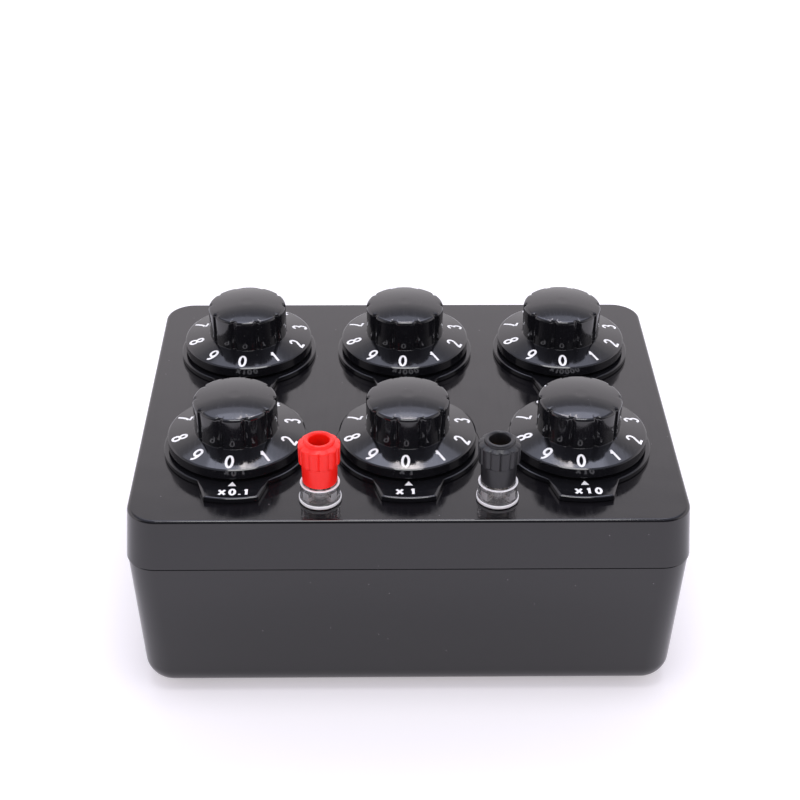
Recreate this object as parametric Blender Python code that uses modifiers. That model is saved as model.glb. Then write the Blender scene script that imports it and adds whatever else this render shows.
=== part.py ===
"""A six-decade resistance box in a black moulded case.

Six dials turn six rotary switches. Each switch picks a tap on a chain of nine resistors, and the
six chains are wired in series between a red and a black binding post.

Metres, +Z up. The origin is under the middle of the case, on the surface that its feet stand on.
The front edge, with the two posts, faces -Y. Heights of the pieces that sit on the panel are
measured from the panel's top face.
"""

import math

import bmesh
import bpy
from mathutils import Matrix

# Clearances
TOUCH_GAP = 0.0003          # kept between faces that touch
RUNNING_GAP = 0.0006        # under a turning dial
OVERRUN = 0.002             # how far a cutter runs past the face that it opens
WELD = 0.000001             # points closer than this are one point

# Places on the panel
DIAL_PITCH = 0.0538         # from column to column
ROW_PITCH = 0.0594          # from the front row to the back row
SIDE_MARGIN = 0.0312        # from an outer column to the side of the case
FRONT_MARGIN = 0.039        # from the front row to the front of the case
BACK_MARGIN = 0.0341        # from the back row to the back of the case
POST_PITCH = 0.0537         # from post to post
POST_MARGIN = 0.0118        # from the posts to the front of the case

# Case: a drafted tub under a lid that is also the panel
CASE_HEIGHT = 0.0671
CORNER_RADIUS = 0.0094
LID_SKIRT = 0.0172
LID_DRAFT = 0.0013          # the skirt opens out by this much
LID_WALL = 0.0018
LID_EDGE_RADIUS = 0.0007
PANEL_THICKNESS = 0.003
LID_OVERHANG = 0.0004
TUB_WALL = 0.0033
TUB_FLOOR = 0.0028
TUB_DRAFT = 0.0025
TUB_EDGE_RADIUS = 0.0077
TONGUE_HEIGHT = 0.003
TONGUE_ROOT = 0.004

# Feet, moulded with the tub
FOOT_RADIUS = 0.006
FOOT_STANDOFF = 0.0015
FOOT_INSET_X = 0.027
FOOT_INSET_Y = 0.022

# Case screws, their bosses in the tub and their pillars under the lid
SCREW_INSET = 0.0128
SCREW_RADIUS = 0.0015
SCREW_HEAD_RADIUS = 0.0028
SCREW_HEAD_HEIGHT = 0.002
SCREW_HEAD_CHAMFER = 0.0006
SCREW_GRIP = 0.012
COUNTERBORE_DEPTH = 0.003
BOSS_RADIUS = 0.005
BOSS_HEIGHT = 0.0037
PILLAR_RADIUS = 0.004
PILOT_CLEARANCE = 0.002

# Index plate, round with a tab in front
PLATE_RADIUS = 0.02305
PLATE_THICKNESS = 0.0017
TAB_ROOT_HALF_WIDTH = 0.0107
TAB_TIP_HALF_WIDTH = 0.0083
TAB_REACH = 0.030

# Dial: a fluted knob on a shallow skirt
SKIRT_RADIUS = 0.0216
SKIRT_EDGE = 0.0064
SKIRT_BOTTOM = 0.0031
SKIRT_WALL = 0.0014
KNOB_RADIUS = 0.0131
KNOB_FOOT = 0.0081
KNOB_RIM = 0.0186
KNOB_DOME = 0.0016
FLUTE_DEPTH = 0.0008
FLUTES = 10
FLUTE_COLUMNS = 6

# Spindle, its detent wheel and the click spring beside it
SPINDLE_RADIUS = 0.003
SPINDLE_GRIP = 0.0098
SPINDLE_TAIL = 0.002
STAR_RADIUS = 0.008
STAR_THICKNESS = 0.0014
STAR_NOTCH = 0.0009
NOTCH_COLUMNS = 2
SPRING_THICKNESS = 0.0006
SPRING_HALF_LENGTH = 0.0060
SPRING_FOOT = 0.0030

# Switch bush with its frame plate and tie pillars
BUSH_RADIUS = 0.0046
BUSH_TAIL = 0.0008
NUT_ACROSS_FLATS = 0.014
NUT_THICKNESS = 0.002
FRAME_THICKNESS = 0.0015
FRAME_HALF_DEPTH = 0.0070
FRAME_END = 0.0025
TIE_PLACE = 0.0182
TIE_RADIUS = 0.0015
TIE_TAIL = 0.001
SWITCH_DEPTH = 0.0095

# Contact board, solder tags, resistor bobbins and wiper
POSITIONS = 10
BOARD_RADIUS = 0.022
BOARD_THICKNESS = 0.0016
CONTACT_RING = 0.0135
TAG_WIDTH = 0.0024
TAG_THICKNESS = 0.0008
TAG_RISE = 0.0008
TAG_DROP = 0.006
BOBBIN_RADIUS = 0.00345
BOBBIN_LENGTH = 0.020
WIPER_HUB_RADIUS = 0.0052
WIPER_HUB_HEIGHT = 0.004
WIPER_WIDTH = 0.003
WIPER_THICKNESS = 0.0005
WIPER_OVERHANG = 0.001

# Binding posts
STUD_RADIUS = 0.002
STUD_TOP = 0.012
STUD_BOTTOM = 0.015
SHOULDER_RADIUS = 0.0032
SHOULDER_TOP = 0.0071
COLLAR_FLANGE_RADIUS = 0.0065
COLLAR_FLANGE = 0.001
COLLAR_FOOT_RADIUS = 0.00595
COLLAR_RIM_RADIUS = 0.00605
COLLAR_RIM = 0.0065
COLLAR_WALL = 0.0008
COLLAR_FLOOR = 0.0012
CAP_BOTTOM = 0.0069
CAP_TOP = 0.0217
CAP_LIP_RADIUS = 0.00465
CAP_LIP_HEIGHT = 0.001
CAP_SHOULDER = 0.0196
CAP_KNURL_RADIUS = 0.00645
CAP_KNURL_FOOT_RADIUS = 0.0063
CAP_KNURL_BOTTOM = 0.0139
CAP_KNURL_STEP = 0.0002
CAP_NECK_RADIUS = 0.0054
CAP_FOOT_RADIUS = 0.0053
CAP_RIB_DEPTH = 0.0005
CAP_RIBS = 12
RIB_COLUMNS = 2
SOCKET_RADIUS = 0.00315
INSERT_RADIUS = 0.0036
INSERT_TOP = 0.0164
INSERT_THREAD_TOP = 0.0136
PLUG_RADIUS = 0.00205
NUT_FLANGE_RADIUS = 0.0045
NUT_FLANGE = 0.0008
POST_NUT_ACROSS_FLATS = 0.007
POST_NUT_HEIGHT = 0.004

# Wiring loom: one laced bundle between the two rows of switches, with a branch to each terminal
BUNDLE_RADIUS = 0.002
WIRE_RADIUS = 0.0006
WIRE_BEND = 0.005
BUNDLE_DROP = 0.005

# Facets
CORNER_STEPS = 6
EDGE_STEPS = 4
LID_EDGE_STEPS = 2
ARC_STEPS = 32
TAB_STEPS = 4
BOARD_STEPS = 16
COLLAR_STEPS = 24
BOBBIN_STEPS = 8
BORE_STEPS = 12
PIN_STEPS = 6
BEND_STEPS = 2

# Worked out from the sizes above
CASE_WIDTH = 2 * (DIAL_PITCH + SIDE_MARGIN)
CASE_DEPTH = FRONT_MARGIN + ROW_PITCH + BACK_MARGIN
CASE_BOTTOM = FOOT_STANDOFF
PANEL_TOP = CASE_BOTTOM + CASE_HEIGHT
PANEL_UNDER = PANEL_TOP - PANEL_THICKNESS
SEAM = PANEL_TOP - LID_SKIRT
FRONT = -CASE_DEPTH / 2
FRONT_ROW = FRONT + FRONT_MARGIN
STEP_ANGLE = math.tau / POSITIONS
FRONT_ANGLE = -math.pi / 2

# Heights on and under the panel, from its top face
PLATE_TOP = TOUCH_GAP + PLATE_THICKNESS
NUT_BOTTOM = PLATE_TOP + TOUCH_GAP
NUT_TOP = NUT_BOTTOM + NUT_THICKNESS
BUSH_TOP = NUT_TOP + TOUCH_GAP
DIAL_HOLLOW_TOP = BUSH_TOP + RUNNING_GAP
SPINDLE_TOP = DIAL_HOLLOW_TOP + SPINDLE_GRIP
FRAME_TOP = -PANEL_THICKNESS - TOUCH_GAP
FRAME_BOTTOM = FRAME_TOP - FRAME_THICKNESS
BUSH_BOTTOM = FRAME_BOTTOM - BUSH_TAIL
STAR_TOP = BUSH_BOTTOM - TOUCH_GAP
STAR_BOTTOM = STAR_TOP - STAR_THICKNESS
BOARD_TOP = FRAME_BOTTOM - SWITCH_DEPTH
BOARD_BOTTOM = BOARD_TOP - BOARD_THICKNESS
TAG_TOP = BOARD_TOP + TAG_RISE
TAG_BOTTOM = BOARD_BOTTOM - TAG_DROP
TIE_BOTTOM = BOARD_BOTTOM - TIE_TAIL
SPINDLE_BOTTOM = BOARD_BOTTOM - SPINDLE_TAIL
BOBBIN_TOP = TIE_BOTTOM - TOUCH_GAP
BOBBIN_BOTTOM = BOBBIN_TOP - BOBBIN_LENGTH
BUNDLE_LEVEL = BOBBIN_BOTTOM - BUNDLE_DROP

SPINDLE_BORE = SPINDLE_RADIUS + TOUCH_GAP
BUSH_HOLE = BUSH_RADIUS + TOUCH_GAP
STUD_HOLE = STUD_RADIUS + TOUCH_GAP
SCREW_HOLE = SCREW_RADIUS + TOUCH_GAP

# Each decade's name, column and row
DECADES = (
    ("tenths", -1, 0),
    ("units", 0, 0),
    ("tens", 1, 0),
    ("hundreds", -1, 1),
    ("thousands", 0, 1),
    ("ten_thousands", 1, 1),
)
POSTS = (("red", -1), ("black", 1))
CORNER_NAMES = ("front_left", "back_left", "front_right", "back_right")

# Colours, linear RGB
BLACK_MOULDING = (0.012, 0.012, 0.013)
BLACK_GLOSS = (0.008, 0.008, 0.010)
SIGNAL_RED = (0.80, 0.012, 0.010)
CLEAR = (0.90, 0.92, 0.92)
NICKEL = (0.62, 0.60, 0.56)
BRASS = (0.70, 0.50, 0.22)
STEEL = (0.45, 0.45, 0.46)
BAKELITE = (0.16, 0.06, 0.02)
RESISTOR_GREEN = (0.05, 0.16, 0.10)
WIRE_BLUE = (0.03, 0.09, 0.40)


def dial_centre(column, row):
    return column * DIAL_PITCH, FRONT_ROW + row * ROW_PITCH


def post_centre(side):
    return side * POST_PITCH / 2, FRONT + POST_MARGIN


def corners(inset_x, inset_y):
    """Four places, one near each corner of the case, set in from its sides."""
    x = CASE_WIDTH / 2 - inset_x
    y = CASE_DEPTH / 2 - inset_y
    return [(sx * x, sy * y) for sx in (-1, 1) for sy in (-1, 1)]


def new_collection(name):
    collection = bpy.data.collections.new(name)
    bpy.context.scene.collection.children.link(collection)
    return collection


def new_material(name, colour, roughness, metallic=0.0, transmission=0.0):
    material = bpy.data.materials.new(name)
    material.use_nodes = True
    shader = material.node_tree.nodes["Principled BSDF"]
    shader.inputs["Base Color"].default_value = (*colour, 1.0)
    shader.inputs["Roughness"].default_value = roughness
    shader.inputs["Metallic"].default_value = metallic
    shader.inputs["Transmission Weight"].default_value = transmission
    return material


def smooth(mesh):
    mesh.shade_smooth()
    mesh.set_sharp_from_angle(angle=math.radians(40))


def add_piece(name, mesh, material, parent=None):
    """A finished piece of the box, in its own object."""
    piece = bpy.data.objects.new(name, mesh)
    if not mesh.materials:
        mesh.materials.append(material)
    piece.parent = parent
    pieces.objects.link(piece)
    return piece


def add_axis(name, place):
    """An empty on a joint's axis, which carries the pieces that move together."""
    axis = bpy.data.objects.new(name, None)
    axis.location = place
    pieces.objects.link(axis)
    return axis


def add_form(name, mesh):
    """A shape that only cuts or joins another, kept apart from the pieces."""
    form = bpy.data.objects.new(name, mesh)
    form.hide_render = True
    form.display_type = "WIRE"
    cutters.objects.link(form)
    return form


def combine(piece, form, operation):
    boolean = piece.modifiers.new(form.name, "BOOLEAN")
    boolean.operation = operation
    boolean.object = form
    boolean.solver = "EXACT"


def finished_mesh(form):
    """The mesh that a form's modifiers give, for a piece that several objects share."""
    depsgraph = bpy.context.evaluated_depsgraph_get()
    mesh = bpy.data.meshes.new_from_object(form.evaluated_get(depsgraph))
    bm = bmesh.new()
    bm.from_mesh(mesh)
    bmesh.ops.remove_doubles(bm, verts=bm.verts, dist=WELD)
    bm.to_mesh(mesh)
    bm.free()
    smooth(mesh)
    return mesh


def mesh_from(bm, name):
    mesh = bpy.data.meshes.new(name)
    bm.to_mesh(mesh)
    bm.free()
    smooth(mesh)
    return mesh


def add_cylinder(bm, radius, bottom, top, at=(0.0, 0.0), steps=BORE_STEPS):
    place = Matrix.Translation((*at, (bottom + top) / 2))
    bmesh.ops.create_cone(bm, cap_ends=True, segments=steps, radius1=radius, radius2=radius,
                          depth=top - bottom, matrix=place)


def add_box(bm, size, centre, turn=0.0):
    """A box of a size, centred on a place, the whole turned round Z about the origin."""
    place = Matrix.Rotation(turn, 4, "Z") @ Matrix.Translation(centre) @ Matrix.Diagonal((*size, 1.0))
    bmesh.ops.create_cube(bm, size=1.0, matrix=place)


def cylinders(name, radius, bottom, top, places, steps=BORE_STEPS):
    bm = bmesh.new()
    for at in places:
        add_cylinder(bm, radius, bottom, top, at, steps)
    return mesh_from(bm, name)


def turned(name, profile, steps):
    """A profile, top to bottom down its outer side, swept round Z by a Screw modifier."""
    mesh = bpy.data.meshes.new(name)
    points = [(radius, 0.0, height) for radius, height in profile]
    edges = [(i, i + 1) for i in range(len(points) - 1)]
    if profile[0][0] > 0:
        edges.append((len(points) - 1, 0))
    mesh.from_pydata(points, edges, [])
    form = add_form(name, mesh)
    screw = form.modifiers.new("Turn", "SCREW")
    screw.angle = math.tau
    screw.steps = steps
    screw.render_steps = steps
    screw.use_merge_vertices = True
    screw.merge_threshold = WELD
    return form


def flute(mesh, lobes, columns, smallest, largest, depth):
    """Pull in one point in so many of the rings between two radii, which leaves a groove there.
    The grooves are midway between lobes, and one lobe faces the front."""
    for vert in mesh.vertices:
        radius = math.hypot(vert.co.x, vert.co.y)
        angle = math.atan2(vert.co.y, vert.co.x) - FRONT_ANGLE
        index = round(angle / math.tau * columns * lobes)
        if smallest < radius < largest and index % columns == columns // 2:
            vert.co.x *= (radius - depth) / radius
            vert.co.y *= (radius - depth) / radius


def rounded_box(name, half_width, half_depth, bottom, top, corner,
                draft=0.0, bottom_edge=0.0, top_edge=0.0):
    """A box with round upright corners, drawn in at its bottom by the draft, or out if negative."""
    bm = bmesh.new()
    bmesh.ops.create_cube(bm, size=1.0)
    for vert in bm.verts:
        low = vert.co.z < 0
        inset = draft if low else 0.0
        vert.co.x = math.copysign(half_width - inset, vert.co.x)
        vert.co.y = math.copysign(half_depth - inset, vert.co.y)
        vert.co.z = bottom if low else top
    upright = [edge for edge in bm.edges if edge.verts[0].co.z != edge.verts[1].co.z]
    bmesh.ops.bevel(bm, geom=upright, offset=corner, segments=CORNER_STEPS, profile=0.5,
                    affect="EDGES")
    for level, radius, steps in ((bottom, bottom_edge, EDGE_STEPS), (top, top_edge, LID_EDGE_STEPS)):
        if radius > 0:
            rim = [edge for edge in bm.edges
                   if all(abs(vert.co.z - level) < WELD for vert in edge.verts)]
            bmesh.ops.bevel(bm, geom=rim, offset=radius, segments=steps, profile=0.5,
                            affect="EDGES")
    return mesh_from(bm, name)


def curve_mesh(name, curve):
    """A curve as a closed mesh, its caps welded to its sides."""
    form = add_form(name, curve)
    depsgraph = bpy.context.evaluated_depsgraph_get()
    mesh = bpy.data.meshes.new_from_object(form.evaluated_get(depsgraph))
    bpy.data.objects.remove(form)
    bm = bmesh.new()
    bm.from_mesh(mesh)
    bmesh.ops.remove_doubles(bm, verts=bm.verts, dist=WELD)
    bmesh.ops.recalc_face_normals(bm, faces=bm.faces)
    bm.to_mesh(mesh)
    bm.free()
    smooth(mesh)
    return mesh


def add_spline(curve, points, closed=False):
    spline = curve.splines.new("POLY")
    spline.points.add(len(points) - 1)
    for point, place in zip(spline.points, points):
        point.co = (*place, 1.0)
    spline.use_cyclic_u = closed


def wire_curve(name, radius, paths):
    curve = bpy.data.curves.new(name, "CURVE")
    curve.dimensions = "3D"
    curve.bevel_depth = radius
    curve.bevel_resolution = 1
    curve.use_fill_caps = True
    for path in paths:
        add_spline(curve, path)
    return curve


def arc(radius, start, end, steps):
    """Points on an arc round the origin, both ends among them."""
    angles = [start + (end - start) * i / steps for i in range(steps + 1)]
    return [(radius * math.cos(angle), radius * math.sin(angle), 0.0) for angle in angles]


def make_case_base(material):
    """The tub: drafted walls, a tongue that locates the lid, four screw bosses and four feet."""
    half_width = CASE_WIDTH / 2 + LID_DRAFT - LID_OVERHANG
    half_depth = CASE_DEPTH / 2 + LID_DRAFT - LID_OVERHANG
    tub_top = SEAM - TOUCH_GAP
    floor = CASE_BOTTOM + TUB_FLOOR
    lean = LID_DRAFT * (TONGUE_HEIGHT + OVERRUN) / (PANEL_UNDER - SEAM + OVERRUN)
    tongue_inset = LID_WALL + TOUCH_GAP + lean - LID_DRAFT
    tongue_top = SEAM + TONGUE_HEIGHT
    base = add_piece("case_base", rounded_box(
        "case_base", half_width, half_depth, CASE_BOTTOM, tub_top, CORNER_RADIUS - LID_OVERHANG,
        draft=TUB_DRAFT, bottom_edge=TUB_EDGE_RADIUS), material)
    tongue = rounded_box(
        "tongue", CASE_WIDTH / 2 - tongue_inset, CASE_DEPTH / 2 - tongue_inset,
        tub_top - TONGUE_ROOT, tongue_top, CORNER_RADIUS - tongue_inset)
    combine(base, add_form("tongue", tongue), "UNION")
    cavity = rounded_box(
        "tub_cavity", half_width - TUB_WALL, half_depth - TUB_WALL, floor, tongue_top + OVERRUN,
        CORNER_RADIUS - LID_OVERHANG - TUB_WALL, draft=TUB_DRAFT,
        bottom_edge=TUB_EDGE_RADIUS - TUB_WALL)
    combine(base, add_form("tub_cavity", cavity), "DIFFERENCE")
    places = corners(SCREW_INSET, SCREW_INSET)
    bosses = cylinders("bosses", BOSS_RADIUS, floor - TUB_FLOOR / 2, floor + BOSS_HEIGHT, places)
    combine(base, add_form("bosses", bosses), "UNION")
    feet = cylinders("feet", FOOT_RADIUS, 0.0, CASE_BOTTOM + TUB_FLOOR / 2,
                     corners(FOOT_INSET_X, FOOT_INSET_Y))
    combine(base, add_form("feet", feet), "UNION")
    shelf = CASE_BOTTOM + COUNTERBORE_DEPTH
    counterbores = cylinders("counterbores", SCREW_HEAD_RADIUS + TOUCH_GAP,
                             CASE_BOTTOM - OVERRUN, shelf, places)
    combine(base, add_form("counterbores", counterbores), "DIFFERENCE")
    holes = cylinders("screw_holes", SCREW_HOLE, shelf - TOUCH_GAP, floor + BOSS_HEIGHT + OVERRUN,
                      places, PIN_STEPS)
    combine(base, add_form("screw_holes", holes), "DIFFERENCE")


def make_top_panel(material):
    """The lid: a flat panel with a skirt, and a pillar over each screw boss."""
    panel = add_piece("top_panel", rounded_box(
        "top_panel", CASE_WIDTH / 2, CASE_DEPTH / 2, SEAM, PANEL_TOP, CORNER_RADIUS,
        draft=-LID_DRAFT, top_edge=LID_EDGE_RADIUS), material)
    cavity = rounded_box(
        "lid_cavity", CASE_WIDTH / 2 - LID_WALL, CASE_DEPTH / 2 - LID_WALL,
        SEAM - OVERRUN, PANEL_UNDER, CORNER_RADIUS - LID_WALL, draft=-LID_DRAFT)
    combine(panel, add_form("lid_cavity", cavity), "DIFFERENCE")
    places = corners(SCREW_INSET, SCREW_INSET)
    bottom = CASE_BOTTOM + TUB_FLOOR + BOSS_HEIGHT + TOUCH_GAP
    pillars = cylinders("pillars", PILLAR_RADIUS, bottom, PANEL_UNDER + PANEL_THICKNESS / 2, places)
    combine(panel, add_form("pillars", pillars), "UNION")
    screw_top = CASE_BOTTOM + COUNTERBORE_DEPTH + SCREW_GRIP
    pilots = cylinders("pilot_holes", SCREW_HOLE, bottom - OVERRUN, screw_top + PILOT_CLEARANCE,
                       places, PIN_STEPS)
    combine(panel, add_form("pilot_holes", pilots), "DIFFERENCE")
    dials = [dial_centre(column, row) for _, column, row in DECADES]
    bush_holes = cylinders("bush_holes", BUSH_HOLE, PANEL_UNDER - OVERRUN, PANEL_TOP + OVERRUN, dials)
    combine(panel, add_form("bush_holes", bush_holes), "DIFFERENCE")
    posts = [post_centre(side) for _, side in POSTS]
    post_holes = cylinders("post_holes", STUD_HOLE, PANEL_UNDER - OVERRUN, PANEL_TOP + OVERRUN, posts)
    combine(panel, add_form("post_holes", post_holes), "DIFFERENCE")


def make_case_screws(material):
    """Four screws that come up through the tub's bosses into the lid's pillars."""
    seat = CASE_BOTTOM + COUNTERBORE_DEPTH - TOUCH_GAP
    head = seat - SCREW_HEAD_HEIGHT
    screw = finished_mesh(turned("screw_form", (
        (0.0, seat + SCREW_GRIP),
        (SCREW_RADIUS, seat + SCREW_GRIP),
        (SCREW_RADIUS, seat),
        (SCREW_HEAD_RADIUS, seat),
        (SCREW_HEAD_RADIUS, head + SCREW_HEAD_CHAMFER),
        (SCREW_HEAD_RADIUS - SCREW_HEAD_CHAMFER, head),
        (0.0, head),
    ), PIN_STEPS))
    for name, (x, y) in zip(CORNER_NAMES, corners(SCREW_INSET, SCREW_INSET)):
        add_piece(f"case_screw_{name}", screw, material).location = (x, y, 0.0)


def index_plate_mesh():
    """The fixed plate under a dial, whose front tab carries the mark that the dial is read by."""
    root = math.asin(TAB_ROOT_HALF_WIDTH / PLATE_RADIUS)
    tip = math.asin(TAB_TIP_HALF_WIDTH / TAB_REACH)
    outline = arc(PLATE_RADIUS, FRONT_ANGLE + root, FRONT_ANGLE + math.tau - root, ARC_STEPS)
    outline += arc(TAB_REACH, FRONT_ANGLE - tip, FRONT_ANGLE + tip, TAB_STEPS)
    curve = bpy.data.curves.new("index_plate", "CURVE")
    curve.dimensions = "2D"
    curve.fill_mode = "BOTH"
    curve.extrude = PLATE_THICKNESS / 2
    add_spline(curve, outline, closed=True)
    add_spline(curve, arc(BUSH_HOLE, 0.0, math.tau, BORE_STEPS)[:-1], closed=True)
    mesh = curve_mesh("index_plate", curve)
    mesh.transform(Matrix.Translation((0.0, 0.0, TOUCH_GAP + PLATE_THICKNESS / 2)))
    return mesh


def dial_mesh():
    """The knob and its skirt, one moulding, hollow below and bored for the spindle."""
    shoulder = KNOB_RADIUS / 2
    form = turned("dial_form", (
        (0.0, KNOB_RIM + KNOB_DOME),
        (shoulder, KNOB_RIM + KNOB_DOME * (1 - (shoulder / KNOB_RADIUS) ** 2)),
        (KNOB_RADIUS, KNOB_RIM),
        (KNOB_RADIUS, KNOB_FOOT),
        (SKIRT_RADIUS, SKIRT_EDGE),
        (SKIRT_RADIUS, SKIRT_BOTTOM),
        (SKIRT_RADIUS - SKIRT_WALL, SKIRT_BOTTOM),
        (SKIRT_RADIUS - SKIRT_WALL, DIAL_HOLLOW_TOP),
        (0.0, DIAL_HOLLOW_TOP),
    ), FLUTE_COLUMNS * FLUTES)
    mesh = finished_mesh(form)
    flute(mesh, FLUTES, FLUTE_COLUMNS, KNOB_RADIUS - FLUTE_DEPTH, KNOB_RADIUS + FLUTE_DEPTH,
          FLUTE_DEPTH)
    body = add_form("dial_body", mesh)
    bore = cylinders("dial_bore", SPINDLE_BORE, DIAL_HOLLOW_TOP - OVERRUN, SPINDLE_TOP + TOUCH_GAP,
                     [(0.0, 0.0)])
    combine(body, add_form("dial_bore", bore), "DIFFERENCE")
    return finished_mesh(body)


def spindle_mesh():
    """The shaft with what is pressed on it: the notched wheel that clicks, and the wiper's hub
    with the spring arm that sweeps the tags. The arm rests on position 0, at the front."""
    shaft = add_form("shaft", cylinders("shaft", SPINDLE_RADIUS, SPINDLE_BOTTOM, SPINDLE_TOP,
                                        [(0.0, 0.0)]))
    star = cylinders("star", STAR_RADIUS, STAR_BOTTOM, STAR_TOP, [(0.0, 0.0)],
                     NOTCH_COLUMNS * POSITIONS)
    flute(star, POSITIONS, NOTCH_COLUMNS, STAR_RADIUS - STAR_NOTCH, STAR_RADIUS + STAR_NOTCH,
          STAR_NOTCH)
    combine(shaft, add_form("star", star), "UNION")
    hub_bottom = BOARD_TOP + TOUCH_GAP
    hub = cylinders("hub", WIPER_HUB_RADIUS, hub_bottom, hub_bottom + WIPER_HUB_HEIGHT, [(0.0, 0.0)])
    combine(shaft, add_form("hub", hub), "UNION")
    reach = CONTACT_RING + TAG_THICKNESS / 2 + WIPER_OVERHANG
    arm_bottom = TAG_TOP + TOUCH_GAP
    bm = bmesh.new()
    add_box(bm, (reach - SPINDLE_RADIUS, WIPER_WIDTH, WIPER_THICKNESS),
            ((reach + SPINDLE_RADIUS) / 2, 0.0, arm_bottom + WIPER_THICKNESS / 2), FRONT_ANGLE)
    combine(shaft, add_form("arm", mesh_from(bm, "arm")), "UNION")
    return finished_mesh(shaft)


def add_click_spring(frame):
    """A leaf beside the notched wheel, with a foot at one end that is riveted up in the frame."""
    across = STAR_RADIUS + TOUCH_GAP + SPRING_THICKNESS / 2
    leaf_top = FRAME_BOTTOM - BUSH_TAIL
    foot_top = FRAME_BOTTOM + FRAME_THICKNESS / 2
    leaf = bmesh.new()
    add_box(leaf, (SPRING_THICKNESS, 2 * SPRING_HALF_LENGTH, leaf_top - STAR_BOTTOM),
            (across, 0.0, (leaf_top + STAR_BOTTOM) / 2))
    combine(frame, add_form("leaf", mesh_from(leaf, "leaf")), "UNION")
    foot = bmesh.new()
    foot_bottom = (leaf_top + STAR_BOTTOM) / 2
    add_box(foot, (2 * SPRING_THICKNESS, SPRING_FOOT, foot_top - foot_bottom),
            (across + SPRING_THICKNESS / 2, SPRING_FOOT - SPRING_HALF_LENGTH,
             (foot_top + foot_bottom) / 2))
    combine(frame, add_form("leaf_foot", mesh_from(foot, "leaf_foot")), "UNION")


def bush_mesh():
    """The threaded bush on its frame plate, with what is riveted to the plate: the click spring
    and the two tie pillars that carry the board."""
    bm = bmesh.new()
    half_length = TIE_PLACE + FRAME_END
    add_box(bm, (2 * half_length, 2 * FRAME_HALF_DEPTH, FRAME_THICKNESS),
            (0.0, 0.0, (FRAME_TOP + FRAME_BOTTOM) / 2))
    frame = add_form("frame", mesh_from(bm, "frame"))
    neck = cylinders("neck", BUSH_RADIUS, BUSH_BOTTOM, BUSH_TOP, [(0.0, 0.0)])
    combine(frame, add_form("neck", neck), "UNION")
    ties = cylinders("ties", TIE_RADIUS, TIE_BOTTOM, FRAME_BOTTOM + FRAME_THICKNESS / 2,
                     [(-TIE_PLACE, 0.0), (TIE_PLACE, 0.0)], PIN_STEPS)
    combine(frame, add_form("ties", ties), "UNION")
    add_click_spring(frame)
    bore = cylinders("bush_bore", SPINDLE_BORE, BUSH_BOTTOM - OVERRUN, BUSH_TOP + OVERRUN,
                     [(0.0, 0.0)])
    combine(frame, add_form("bush_bore", bore), "DIFFERENCE")
    return finished_mesh(frame)


def tag_turn(position):
    return FRONT_ANGLE + position * STEP_ANGLE


def board_mesh():
    """The insulating board, slotted for ten solder tags and drilled for its ties and spindle."""
    board = add_form("board", cylinders("board", BOARD_RADIUS, BOARD_BOTTOM, BOARD_TOP,
                                        [(0.0, 0.0)], BOARD_STEPS))
    bm = bmesh.new()
    height = BOARD_THICKNESS + 2 * OVERRUN
    slot = (TAG_THICKNESS + 2 * TOUCH_GAP, TAG_WIDTH + 2 * TOUCH_GAP, height)
    middle = (BOARD_TOP + BOARD_BOTTOM) / 2
    for position in range(POSITIONS):
        add_box(bm, slot, (CONTACT_RING, 0.0, middle), tag_turn(position))
    low = BOARD_BOTTOM - OVERRUN
    high = BOARD_TOP + OVERRUN
    add_cylinder(bm, SPINDLE_BORE, low, high)
    for side in (-1, 1):
        add_cylinder(bm, TIE_RADIUS + TOUCH_GAP, low, high, (side * TIE_PLACE, 0.0), PIN_STEPS)
    combine(board, add_form("board_holes", mesh_from(bm, "board_holes")), "DIFFERENCE")
    return finished_mesh(board)


def resistor_chain_mesh():
    """Ten tags with nine wire-wound bobbins soldered between them, which makes one chain; the
    last gap of the ring is open."""
    bm = bmesh.new()
    size = (TAG_THICKNESS, TAG_WIDTH, TAG_TOP - TAG_BOTTOM)
    for position in range(POSITIONS):
        add_box(bm, size, (CONTACT_RING, 0.0, (TAG_TOP + TAG_BOTTOM) / 2), tag_turn(position))
    chain = add_form("tags", mesh_from(bm, "tags"))
    places = []
    for position in range(POSITIONS - 1):
        angle = tag_turn(position) + STEP_ANGLE / 2
        places.append((CONTACT_RING * math.cos(angle), CONTACT_RING * math.sin(angle)))
    bobbins = cylinders("bobbins", BOBBIN_RADIUS, BOBBIN_BOTTOM, BOBBIN_TOP, places, BOBBIN_STEPS)
    combine(chain, add_form("bobbins", bobbins), "UNION")
    return finished_mesh(chain)


def hexagon(name, across_flats, bottom, top):
    return cylinders(name, across_flats / 2 / math.cos(math.pi / 6), bottom, top, [(0.0, 0.0)], 6)


def bored(form, bore, bottom, top):
    hole = cylinders(form.name + "_bore", bore, bottom - OVERRUN, top + OVERRUN, [(0.0, 0.0)])
    combine(form, add_form(form.name + "_bore", hole), "DIFFERENCE")
    return finished_mesh(form)


def bush_nut_mesh():
    nut = add_form("bush_nut_form", hexagon("bush_nut", NUT_ACROSS_FLATS, NUT_BOTTOM, NUT_TOP))
    return bored(nut, BUSH_HOLE, NUT_BOTTOM, NUT_TOP)


def post_nut_mesh():
    """A hexagon nut with its washer face, up against the underside of the panel."""
    top = -PANEL_THICKNESS - TOUCH_GAP
    bottom = top - POST_NUT_HEIGHT
    nut = add_form("post_nut_form", hexagon("post_nut", POST_NUT_ACROSS_FLATS, bottom,
                                            top - NUT_FLANGE / 2))
    flange = cylinders("nut_flange", NUT_FLANGE_RADIUS, top - NUT_FLANGE, top, [(0.0, 0.0)])
    combine(nut, add_form("nut_flange", flange), "UNION")
    return bored(nut, STUD_HOLE, bottom, top)


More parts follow.
